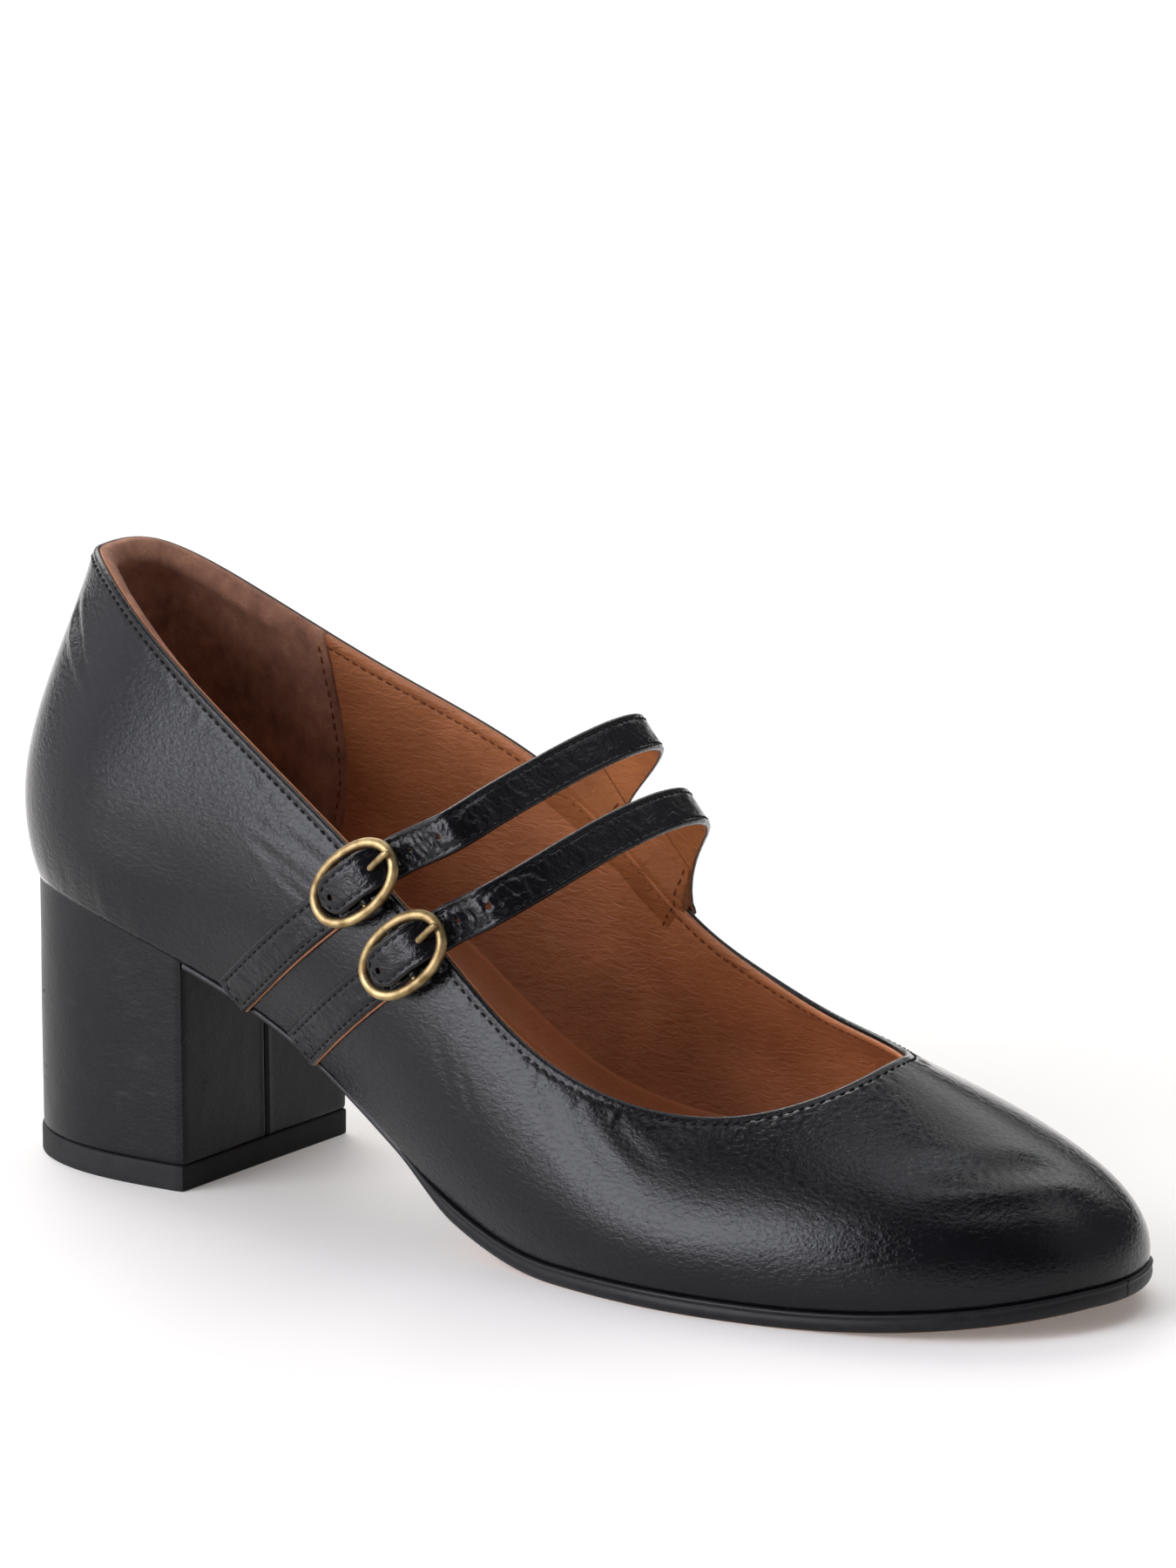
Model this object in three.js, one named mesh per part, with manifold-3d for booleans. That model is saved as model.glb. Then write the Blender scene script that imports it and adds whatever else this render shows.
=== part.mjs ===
// A woman's mary jane pump with a covered block heel and two buckled straps: one right shoe.
// Millimetres, +Z up, floor at z = 0. While it is built, x runs from the back of the heel
// to the toe and +y is the inner (medial) side; at the end the whole shoe is centred over
// the origin, which is the middle of its bounding box at floor level.
import * as THREE from "three";
import { mergeVertices } from "three/addons/utils/BufferGeometryUtils.js";
import Module from "manifold-3d";

const wasm = await Module();
wasm.setup();

// ---------------------------------------------------------------- driving dimensions
const LENGTH = 234; // back of the heel to the tip of the toe, measured level
const BALL_WIDTH = 80; // widest part of the sole
const HEEL_HEIGHT = 53.4; // floor to the heel seat, at the very back
const COLLAR_HEIGHT = 112.2; // floor to the topline, at the very back
const WALL = 1.9; // leather and lining together
const GAP = 0.3; // clearance between neighbouring pieces

const LASTING_MARGIN = 9; // how far the upper turns in under the insole
const MARGIN_THICK = 1.3;
const INSOLE_THICK = 1.6;
const INSOLE_CLEARANCE = 1.3; // between the insole and the wall's inner face
const TURN_CLEARANCE = 0.2; // the wall's inner face turns into the lasting margin this far in

const SOLE_THIN = 1.8; // under the arch
const SOLE_THICK = 3.6; // under the forefoot
const SOLE_EDGE = 0.6; // how far the sole shows outside the upper, at the forefoot
const WAIST_INSET = 0.5; // and how far it hides inside it, under the arch
const SOLE_ROUND = 0.5; // bevel along both edges of the sole
const ARCH_END = 98; // the sole is thin up to here
const BALL_START = 114; // and has its full thickness from here on
const TREAD_START = 140; // the flat of the forefoot begins
const TREAD_END = 184; // and ends, where the toe spring starts
const TOE_SPRING = 4.2;

const HEEL_BREAST = 49.5; // front face of the heel block
const HEEL_TAPER = 0.98; // width at the floor over width at the seat
const HEEL_INSET = 0.2; // the covered block stands this far inside the feather edge
const TOP_PIECE = 4.8; // thickness of the rubber heel tip
const TIP_PROUD = 0.25; // how far the tip stands outside the covered block

const STRAP_WIDTH = 7.6;
const STRAP_THICK = 1.4;
const TAB_THICK = 1;
const TAB_REACH = 3.5; // the tab leaves the wall this far below the bar
const STRAP_RUN = 0.76; // cosine of the straps' slope: they climb forwards at about 40 degrees
const HOLE_RADIUS = 1.05;
const FOOT_MITRE = -0.4; // the tabs' lower ends are cut to follow the feather edge

const RING_LONG = 20.6; // outside of the buckle, along the strap
const RING_SHORT = 13.6; // and across it
const RING_WIRE = 1.8;
const BAR_WIRE = 1.4;
const PRONG_WIRE = 1.4;
const RING_STANDOFF = 3.1; // middle of the ring's wire over the wall
const RING_TILT = 0.07; // how much higher the ring stands towards the instep
const BAR_STANDOFF = 2.9;
const TIP_ROUND = 4; // length of the strap's rounded tip
const TIP_FULLNESS = 0.97; // 1 would bring the tip to a point

// ---------------------------------------------------------------- the last, as ribs
// The tables are drawn for one base size, and graded from it to the sizes above.
const BASE = { length: 234, ballWidth: 80, heelHeight: 53.4, collarHeight: 112.2 };
const gradeX = LENGTH / BASE.length;
const gradeY = BALL_WIDTH / BASE.ballWidth;
const gradeHeel = HEEL_HEIGHT / BASE.heelHeight;
const gradeCollar = COLLAR_HEIGHT / BASE.collarHeight;

// One row for each rib round the shoe, from the back of the heel along the outer side
// to the toe, and home along the inner side. A rib climbs from the feather edge, where
// the wall meets the sole, to the topline:
//   footX, footY        the feather edge
//   topX, topY, topZ    the topline
//   flare, rise         how the wall leaves the sole: degrees outwards, and how firmly
//   lean, sweep, hold   how it meets the topline: degrees inwards and forwards, how firmly
const RIB_COLUMNS = [
  "footX", "footY", "topX", "topY", "topZ", "flare", "rise", "lean", "sweep", "hold",
];
const RIBS = [
  [4, 0, 12.4, 0.5, 112.2, 16, 22.5, 15, 3, 26],
  [11, -18.2, 19.2, -10.2, 111.8, 18, 22.7, 16.5, 3.6, 26.4],
  [28, -26.4, 35, -19.9, 104.6, 17.9, 21.5, 15.8, 10, 24.3],
  [50, -26.9, 58.8, -26.5, 91, 17.8, 20.2, 14.1, 20.8, 22],
  [72, -26.9, 84.8, -30.8, 75.9, 20.2, 19, 14.2, 32, 20],
  [95, -28.1, 108.9, -33.6, 59.9, 21.9, 17, 15.9, 38, 17],
  [120, -32.6, 130.6, -34.8, 43.4, 21.9, 15, 23.9, 30, 14],
  [145, -38.6, 150.7, -32.2, 34.6, 20, 14, 38, 10, 13],
  [168, -40.4, 165.8, -26.4, 32.6, 17, 14, 52, -5, 14],
  [191, -37, 178, -20, 34.9, 14, 15.1, 62, 0, 18],
  [212, -30.2, 185.2, -11.2, 38.2, 12, 16.9, 68, 0, 24],
  [228.6, -18, 187.4, -3, 40.2, 9.5, 17.1, 69.5, 0, 29.5],
  [235.6, -0.5, 186.4, 4.2, 40, 7.7, 15.6, 67, 0, 31],
  [231.8, 14.8, 182.8, 11, 38.6, 8, 14, 64.4, 0.6, 28.3],
  [217, 27.8, 176.4, 17.2, 37.8, 10.4, 13.7, 60, 0.7, 23.7],
  [195, 35.3, 168.6, 21, 38.2, 13.2, 13.4, 56, 0.4, 18.4],
  [170, 37.4, 155.6, 24.9, 40, 15.8, 14.4, 48, -4, 14.8],
  [146, 33.6, 140.5, 28, 44.2, 22, 15.9, 33.6, 15, 15],
  [120, 25.1, 123.7, 28.9, 52.8, 30, 17.1, 20.1, 34, 16],
  [97, 19.6, 107.4, 28.2, 66.9, 36, 18.1, 14.1, 41, 18],
  [75, 19.8, 87, 26, 79.8, 31.9, 20, 12, 33.9, 20],
  [52, 24.6, 59, 23.2, 91.2, 22, 21, 12.5, 20, 22],
  [29, 25.4, 32.6, 19.9, 103, 18.2, 21.1, 13.5, 8.4, 24],
  [11.5, 17.4, 16.6, 12, 111.3, 17, 22.2, 14.5, 2.5, 26.1],
];

// The feather edge in side view, over the floor, up to the flat of the forefoot.
const SHANK_LINE = [
  // x, z
  [0, 53.4],
  [22, 51.2],
  [45, 45.1],
  [60, 39.8],
  [75, 33],
  [90, 23.5],
  [105, 13.6],
  [120, 6.8],
  [TREAD_START, SOLE_THICK],
];

// Each strap is drawn from its buckle, over the instep, to where it lies on the inner side.
// `foot` is where the tab starts at the feather edge, and `buckle` is where the bar stands
// on the outer wall: each as x, z. Rows under `arch` are points of the strap's middle line
// in the air: x, y, z. It lands on the inner wall at `landing` and ends at `root`: x, z.
const STRAPS = {
  rear: {
    foot: [62.2, 39.6],
    buckle: [95.6, 66],
    arch: [
      [113.4, -30.6, 77.7],
      [116.8, -22.4, 81.3],
      [119.1, -12.4, 84.2],
      [121.1, -2.2, 86.7],
      [122, 7.8, 88],
      [121.2, 17, 87.6],
      [118.2, 24.2, 85.2],
      [111.6, 29, 79.4],
    ],
    landing: [100.6, 70],
    root: [92.8, 63.3],
    rootWidth: 10,
  },
  front: {
    foot: [78, 32.2],
    buckle: [107.6, 55],
    arch: [
      [123.2, -33, 65.8],
      [127.6, -26, 69.5],
      [130.3, -17.4, 72.6],
      [132.5, -8, 75.2],
      [134.3, 0.6, 76.9],
      [134.4, 9, 77],
      [132.6, 17, 75.4],
      [128, 24.4, 71.6],
      [121, 29, 65.4],
    ],
    landing: [114.6, 59.6],
    root: [107, 53],
    rootWidth: 12,
  },
};
// The strap's middle line through its buckle: s runs along the strap from the bar towards
// the instep, h is the height over the outer wall. The strap dips under the ring's upper
// end, climbs over the bar, and its tip lies inside the ring's lower end.
const STRAP_IN_BUCKLE = [
  // s, h
  [-7.2, 3.1],
  [-4.8, 4],
  [-2.4, 4.6],
  [0, 4.8],
  [2, 4.7],
  [4, 3.5],
  [5.6, 1.9],
  [7.6, 1],
  [10.2, 0.4],
];
// The prong's middle line, in the same terms.
const PRONG_LINE = [
  // s, h
  [1.8, 3.1],
  [4, 3.6],
  [6.6, 4.6],
  [9.4, 5.7],
  [10.8, 5.8],
];

const LEATHER = { color: 0x101114, roughness: 0.28, metalness: 0 };
const COVER = { color: 0x222326, roughness: 0.55, metalness: 0 };
const RUBBER = { color: 0x1b1b1c, roughness: 0.75, metalness: 0 };
const BOARD = { color: 0x4a3426, roughness: 0.6, metalness: 0 };
const TAN = { color: 0x70401f, roughness: 0.6, metalness: 0 };
const BRASS = { color: 0xb8955a, roughness: 0.35, metalness: 1 };

// ---------------------------------------------------------------- small helpers
const radians = (degrees) => (degrees * Math.PI) / 180;
const clamp01 = (t) => Math.min(1, Math.max(0, t));
const smooth = (t) => clamp01(t) ** 2 * (3 - 2 * clamp01(t));
const mix = (a, b, t) => a + (b - a) * t;
const V = (x, y, z) => new THREE.Vector3(x, y, z);
const steps = (n) => Array.from({ length: n + 1 }, (_, i) => i / n);
const plus = (point, direction, distance) => point.clone().addScaledVector(direction, distance);

// Solves a small dense linear system by elimination.
function solve(matrix, right) {
  const n = right.length;
  const rows = matrix.map((row, i) => [...row, right[i]]);
  for (let c = 0; c < n; c++) {
    let best = c;
    for (let r = c + 1; r < n; r++) {
      if (Math.abs(rows[r][c]) > Math.abs(rows[best][c])) best = r;
    }
    [rows[c], rows[best]] = [rows[best], rows[c]];
    for (let r = 0; r < n; r++) {
      if (r === c) continue;
      const share = rows[r][c] / rows[c][c];
      for (let k = c; k <= n; k++) rows[r][k] -= share * rows[c][k];
    }
  }
  return rows.map((row, i) => row[n] / row[i]);
}

// A cubic spline through (knots, values), smooth to the second derivative. A closed one
// repeats every `period`; an open one is straight at its start and level at its end.
function spline(knots, values, period = 0) {
  const n = values.length;
  const wrap = (i) => ((i % n) + n) % n;
  const at = (i) => knots[wrap(i)] + Math.floor(i / n) * period;
  const matrix = Array.from({ length: n }, () => new Array(n).fill(0));
  const right = new Array(n).fill(0);
  for (let i = 0; i < n; i++) {
    const ends = period === 0 && (i === 0 || i === n - 1);
    const before = at(i) - at(i - 1);
    const after = at(i + 1) - at(i);
    if (!ends) {
      matrix[i][wrap(i - 1)] += before;
      matrix[i][i] += 2 * (before + after);
      matrix[i][wrap(i + 1)] += after;
      const ahead = (values[wrap(i + 1)] - values[i]) / after;
      right[i] = 6 * (ahead - (values[i] - values[wrap(i - 1)]) / before);
    } else if (i === 0) {
      matrix[i][i] = 1;
    } else {
      matrix[i][i - 1] = before;
      matrix[i][i] = 2 * before;
      right[i] = (-6 * (values[i] - values[i - 1])) / before;
    }
  }
  const bend = solve(matrix, right);
  const last = period > 0 ? n - 1 : n - 2;
  return (t) => {
    const u = period > 0 ? (((t % period) + period) % period) : t;
    let i = 0;
    while (i < last && at(i + 1) <= u) i++;
    const span = at(i + 1) - at(i);
    const a = (at(i + 1) - u) / span;
    const b = 1 - a;
    const sag = (a ** 3 - a) * bend[i] + (b ** 3 - b) * bend[wrap(i + 1)];
    return a * values[i] + b * values[wrap(i + 1)] + (sag * span ** 2) / 6;
  };
}

// ---------------------------------------------------------------- the floor side
const shankHeight = spline(
  SHANK_LINE.map(([x]) => x * gradeX),
  SHANK_LINE.map(([x, z]) => (x < TREAD_START ? z * gradeHeel : z)),
);

// Height of the feather edge over the floor.
function featherZ(x) {
  if (x < TREAD_START * gradeX) return shankHeight(x);
  const beyond = clamp01((x / gradeX - TREAD_END) / (BASE.length - TREAD_END));
  return SOLE_THICK + TOE_SPRING * beyond ** 2;
}

// 0 under the arch, 1 from the ball on.
const forefoot = (x) => smooth((x / gradeX - ARCH_END) / (BALL_START - ARCH_END));
const soleThickness = (x) => mix(SOLE_THIN, SOLE_THICK, forefoot(x));

// ---------------------------------------------------------------- the wall's surface
const ribKnots = [0];
for (let i = 1; i <= RIBS.length; i++) {
  const [ax, ay] = RIBS[i - 1];
  const [bx, by] = RIBS[i % RIBS.length];
  ribKnots.push(ribKnots[i - 1] + Math.hypot((bx - ax) * gradeX, (by - ay) * gradeY));
}
const AROUND = ribKnots.pop(); // length of the feather edge, about
const TOE_RIB = 12;
const TOE = ribKnots[TOE_RIB];
const grades = { footX: gradeX, footY: gradeY, topX: gradeX, topY: gradeY, topZ: gradeCollar };
const column = Object.fromEntries(
  RIB_COLUMNS.map((name, c) => {
    const values = RIBS.map((row) => row[c] * (grades[name] ?? 1));
    return [name, spline(ribKnots, values, AROUND)];
  }),
);

// Unit vector square to a plan curve, pointing out of the shoe.
function outward(curveX, curveY, u) {
  const step = 0.5;
  const dx = curveX(u + step) - curveX(u - step);
  const dy = curveY(u + step) - curveY(u - step);
  return V(dy, -dx, 0).normalize();
}

// The control points of the rib at u, and the way out of the shoe at its foot.
function rib(u) {
  const at = Object.fromEntries(RIB_COLUMNS.map((name) => [name, column[name](u)]));
  const foot = V(at.footX, at.footY, featherZ(at.footX));
  const top = V(at.topX, at.topY, at.topZ);
  const out = outward(column.footX, column.footY, u);
  const away = V(0, 0, Math.cos(radians(at.flare)));
  away.addScaledVector(out, Math.sin(radians(at.flare)));
  const inwards = outward(column.topX, column.topY, u).negate();
  const up = V(Math.sin(radians(at.sweep)), 0, Math.cos(radians(at.sweep)));
  const arrive = inwards.multiplyScalar(Math.sin(radians(at.lean)));
  arrive.addScaledVector(up, Math.cos(radians(at.lean))).normalize();
  return { foot, top, out, low: plus(foot, away, at.rise), high: plus(top, arrive, -at.hold) };
}

// A point of the wall's outer face: v = 0 at the feather edge, 1 at the topline.
function onRib(r, v) {
  const w = 1 - v;
  const point = r.foot.clone().multiplyScalar(w ** 3);
  point.addScaledVector(r.low, 3 * w * w * v);
  point.addScaledVector(r.high, 3 * w * v * v);
  return point.addScaledVector(r.top, v ** 3);
}
const wall = (u, v) => onRib(rib(u), v);

// The wall's outward normal.
function wallNormal(u, v) {
  const step = 0.004;
  const level = clamp01(v);
  const up = wall(u, Math.min(1, level + step)).sub(wall(u, Math.max(0, level - step)));
  const along = wall(u + 0.5, level).sub(wall(u - 0.5, level));
  return along.cross(up).normalize();
}

// Finds the wall's point at a given x and z on the outer side (side -1) or the inner (1).
function findOnWall(x, z, side) {
  let u = side < 0 ? TOE * (x / LENGTH) : AROUND - (AROUND - TOE) * (x / LENGTH);
  let v = 0.7;
  for (let i = 0; i < 14; i++) {
    const here = wall(u, v);
    const du = wall(u + 0.2, v).sub(here).divideScalar(0.2);
    const dv = wall(u, v + 0.002).sub(here).divideScalar(0.002);
    const det = du.x * dv.z - du.z * dv.x;
    const ex = x - here.x;
    const ez = z - here.z;
    u += (ex * dv.z - ez * dv.x) / det;
    v += (ez * du.x - ex * du.z) / det;
  }
  return { point: wall(u, v), normal: wallNormal(u, v) };
}

// ---------------------------------------------------------------- making solids
// Triangles that fill one ring of points, turned the way the ring runs.
function fillRing(ring) {
  const normal = V(0, 0, 0);
  ring.forEach((p, i) => normal.add(p.clone().cross(ring[(i + 1) % ring.length])));
  const largest = ["x", "y", "z"].reduce((a, b) =>
    Math.abs(normal[a]) > Math.abs(normal[b]) ? a : b,
  );
  const [s, t] = { x: ["y", "z"], y: ["z", "x"], z: ["x", "y"] }[largest];
  const flat = ring.map((p) => new THREE.Vector2(p[s], p[t]));
  const faces = THREE.ShapeUtils.triangulateShape(flat, []);
  return faces.map(([a, b, c]) => {
    const area = flat[b].clone().sub(flat[a]).cross(flat[c].clone().sub(flat[a]));
    return area > 0 === normal[largest] > 0 ? [a, b, c] : [a, c, b];
  });
}

// Joins cross-sections, each a ring of points, into one closed surface. Rings that run
// clockwise when seen from the start of the sweep give faces that point out.
function sweep(sections, closed = false) {
  const size = sections[0].length;
  const points = sections.flat();
  const faces = [];
  const spans = closed ? sections.length : sections.length - 1;
  for (let i = 0; i < spans; i++) {
    const a = i * size;
    const b = ((i + 1) % sections.length) * size;
    for (let j = 0; j < size; j++) {
      const k = (j + 1) % size;
      faces.push([a + j, a + k, b + k], [a + j, b + k, b + j]);
    }
  }
  if (!closed) {
    const start = points.length - size;
    fillRing(sections[0]).forEach(([a, b, c]) => faces.push([a, c, b]));
    fillRing(sections.at(-1)).forEach((f) => faces.push(f.map((i) => i + start)));
  }
  return outwards(points, faces);
}

// A geometry whose faces all point out, whichever way round they came.
function outwards(points, faces) {
  let volume = 0;
  faces.forEach(([a, b, c]) => {
    volume += points[a].dot(points[b].clone().cross(points[c]));
  });
  const order = volume < 0 ? faces.map(([a, b, c]) => [a, c, b]) : faces;
  const geometry = new THREE.BufferGeometry();
  const numbers = points.flatMap((p) => [p.x, p.y, p.z]);
  geometry.setAttribute("position", new THREE.Float32BufferAttribute(numbers, 3));
  geometry.setIndex(order.flat());
  return geometry;
}

function toManifold(geometry) {
  const merged = mergeVertices(geometry, 1e-3);
  const vertProperties = merged.attributes.position.array;
  const triVerts = new Uint32Array(merged.index.array);
  return new wasm.Manifold(new wasm.Mesh({ numProp: 3, vertProperties, triVerts }));
}

function fromManifold(solid) {
  const { vertProperties, triVerts } = solid.getMesh();
  const geometry = new THREE.BufferGeometry();
  geometry.setAttribute("position", new THREE.BufferAttribute(vertProperties, 3));
  geometry.setIndex(new THREE.BufferAttribute(triVerts, 1));
  return geometry;
}

// A rod of round section along a smooth line of points.
function rod(points, diameter, sides, closed = false) {
  const curve = new THREE.CatmullRomCurve3(points, closed);
  const count = points.length * 2;
  const frames = curve.computeFrenetFrames(count, closed);
  const sections = steps(count).slice(0, closed ? count : count + 1).map((t, i) => {
    const middle = curve.getPoint(t);
    return steps(sides).slice(0, sides).map((a) => {
      const angle = a * 2 * Math.PI;
      const side = plus(middle, frames.normals[i], (Math.cos(angle) * diameter) / 2);
      return side.addScaledVector(frames.binormals[i], (Math.sin(angle) * diameter) / 2);
    });
  });
  return sweep(sections, closed);
}

// ---------------------------------------------------------------- upper
const RIB_COUNT = 100;
const WALL_LEVELS = [0, 0.04, 0.1, 0.18, 0.28, 0.4, 0.52, 0.64, 0.76, 0.88, 1];

// A point `inset` inside the feather edge at u, at height h over the sole's top face.
function onSeat(u, inset, h) {
  const r = rib(u);
  const point = plus(r.foot, r.out, -inset);
  point.z = featherZ(point.x) + h;
  return point;
}

function makeUpper() {
  const sections = steps(RIB_COUNT).slice(0, RIB_COUNT).map((t) => {
    const u = t * AROUND;
    const r = rib(u);
    const outer = WALL_LEVELS.map((v) => onRib(r, v));
    const inner = WALL_LEVELS.slice(1).map((v) => plus(onRib(r, v), wallNormal(u, v), -WALL));
    const turn = onSeat(u, WALL + TURN_CLEARANCE, MARGIN_THICK);
    const edge = [onSeat(u, LASTING_MARGIN, MARGIN_THICK), onSeat(u, LASTING_MARGIN, 0)];
    return [...outer, ...inner.reverse(), turn, ...edge];
  });
  return sweep(sections, true);
}

// ---------------------------------------------------------------- sole, insole and heel
// Stations along the shoe, given as pairs of places on the feather edge, outer and inner,
// that lie across from each other between two values of x. They stand closer together
// towards the back of the heel and the tip of the toe.
const END_STEP = 0.12; // the first and last stations are this far in from the very ends
const END_EASE = 1.8;
function stationsAlong(fromX, toX, count) {
  const place = (x, low, high) => {
    let [a, b] = [low, high];
    for (let i = 0; i < 40; i++) {
      const middle = (a + b) / 2;
      if (column.footX(middle) < x) a = middle;
      else b = middle;
    }
    return (a + b) / 2;
  };
  const back = column.footX(0);
  const front = column.footX(TOE);
  return steps(count).map((t) => {
    const eased = (1 - Math.cos(Math.PI * t)) / 2;
    const lowEnd = fromX <= back;
    const highEnd = toX >= front;
    let share = t;
    if (lowEnd && highEnd) share = eased;
    else if (lowEnd) share = t ** END_EASE;
    else if (highEnd) share = 1 - (1 - t) ** END_EASE;
    const x = mix(Math.max(fromX, back + END_STEP), Math.min(toX, front - END_STEP), share);
    return [place(x, 0, TOE), place(x, AROUND, TOE)];
  });
}

// A flat-lying piece whose outline is the feather edge moved in by `inset(x)`, between the
// heights `low(x)` and `high(x)` over the floor.
function plate(stations, inset, low, high, round = 0) {
  const sections = stations.map(([outer, inner]) => {
    const at = (u, extra, height) => {
      const r = rib(u);
      const point = plus(r.foot, r.out, -inset(r.foot.x) - extra);
      point.z = height(point.x);
      return point;
    };
    const above = (x) => high(x) - round;
    const below = (x) => low(x) + round;
    const half = [
      [round, low],
      [0, below],
      [0, above],
      [round, high],
    ].slice(round > 0 ? 0 : 1, round > 0 ? 4 : 3);
    const left = half.map(([extra, height]) => at(outer, extra, height));
    const right = half.map(([extra, height]) => at(inner, extra, height)).reverse();
    return [...left, ...right];
  });
  return sweep(sections);
}

function makeOutsole() {
  const stations = stationsAlong(HEEL_BREAST * gradeX + GAP, Infinity, 56);
  const inset = (x) => mix(WAIST_INSET, -SOLE_EDGE, forefoot(x));
  const bottom = (x) => featherZ(x) - soleThickness(x);
  return plate(stations, inset, bottom, (x) => featherZ(x) - GAP, SOLE_ROUND);
}

function makeInsole() {
  const under = MARGIN_THICK + GAP;
  const stations = stationsAlong(0, Infinity, 56);
  const inset = () => WALL + INSOLE_CLEARANCE;
  const low = (x) => featherZ(x) + under;
  return plate(stations, inset, low, (x) => low(x) + INSOLE_THICK);
}

// The heel's outline at a station: straight lines from the seat down to the floor, drawn
// in towards the middle of the breast.
function heelSection([outer, inner], inset, low, high) {
  const at = (u, height) => {
    const r = rib(u);
    const point = plus(r.foot, r.out, -inset);
    const seat = featherZ(point.x) - GAP;
    const z = Math.min(height, seat);
    const narrow = mix(HEEL_TAPER, 1, z / seat);
    return V(point.x, point.y * narrow, z);
  };
  const levels = [0, 0.5, 1].map((t) => mix(low, Math.min(high, HEEL_HEIGHT), t));
  const left = levels.map((z) => at(outer, z));
  const right = levels.map((z) => at(inner, z)).reverse();
  return [...left, ...right];
}

function makeHeelBlock() {
  const stations = stationsAlong(0, HEEL_BREAST * gradeX, 30);
  return sweep(stations.map((s) => heelSection(s, HEEL_INSET, TOP_PIECE + GAP, HEEL_HEIGHT)));
}

function makeTopPiece() {
  const stations = stationsAlong(0, HEEL_BREAST * gradeX, 30);
  return sweep(stations.map((s) => heelSection(s, HEEL_INSET - TIP_PROUD, 0, TOP_PIECE)));
}

// ---------------------------------------------------------------- straps, tabs, buckles
const ALONG = V(STRAP_RUN, 0, Math.sqrt(1 - STRAP_RUN ** 2)); // the straps' slope
const ACROSS = V(-ALONG.z, 0, ALONG.x);

// The buckle's own axes: `along` the strap, `across` it, `out` from the wall.
function buckleFrame(strap) {
  const [x, z] = strap.buckle;
  const { point, normal } = findOnWall(x * gradeX, z, -1);
  const along = plus(ALONG, normal, -ALONG.dot(normal)).normalize();
  const across = along.clone().cross(normal).negate().normalize();
  return { origin: point, along, across, out: normal };
}

function inFrame(frame, s, w, h) {
  const point = plus(frame.origin, frame.along, s);
  return point.addScaledVector(frame.across, w).addScaledVector(frame.out, h);
}

// A ribbon's cross-section from the points of its lower face and the directions of its
// thickness there.
function ribbonSection(lower, ups, thick) {
  const upper = lower.map((p, i) => plus(p, ups[i], thick));
  return [...lower, ...upper.reverse()];
}

// Sections of a strip that lies on the wall from one x, z to another. Its first end is
// cut at `endSlope` to its width.
function stripOnWall(from, to, side, widths, count, thick, endSlope = 0) {
  const run = V(to[0] - from[0], 0, to[1] - from[1]).normalize();
  const square = V(-run.z, 0, run.x);
  return steps(count).map((t) => {
    const mitre = endSlope * (1 - smooth(t / 0.3));
    const found = [-0.5, 0, 0.5].map((k) => {
      const offset = k * mix(widths[0], widths[1], t);
      const x = mix(from[0], to[0], t) + (square.x + run.x * mitre) * offset;
      const z = mix(from[1], to[1], t) + (square.z + run.z * mitre) * offset;
      return findOnWall(x * gradeX, z, side);
    });
    const lower = found.map(({ point, normal }) => plus(point, normal, GAP));
    return ribbonSection(lower, found.map(({ normal }) => normal), thick);
  });
}

// The outer-side tab climbs the wall, passes under the bar and hooks round it.
function makeTab(strap, frame) {
  const [bx, bz] = strap.buckle;
  const top = [bx - ALONG.x * TAB_REACH, bz - ALONG.z * TAB_REACH];
  const width = [STRAP_WIDTH, STRAP_WIDTH];
  const flat = stripOnWall(strap.foot, top, -1, width, 16, TAB_THICK, FOOT_MITRE);
  const radius = BAR_WIRE / 2 + GAP + TAB_THICK / 2;
  const hook = steps(5).map((t) => {
    const angle = radians(mix(-90, 0, t));
    const normal = [Math.cos(angle), Math.sin(angle)];
    const lower = [-0.5, 0, 0.5].map((k) => {
      const s = normal[0] * (radius + TAB_THICK / 2);
      const h = BAR_STANDOFF + normal[1] * (radius + TAB_THICK / 2);
      return inFrame(frame, s, k * STRAP_WIDTH, h);
    });
    const inwards = plus(V(0, 0, 0), frame.along, -normal[0]);
    inwards.addScaledVector(frame.out, -normal[1]);
    return ribbonSection(lower, [inwards, inwards, inwards], TAB_THICK);
  });
  const solid = toManifold(sweep([...flat, ...hook]));
  return fromManifold(solid.subtract(prongTunnel(frame, 0, HOLE_RADIUS)));
}

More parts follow.
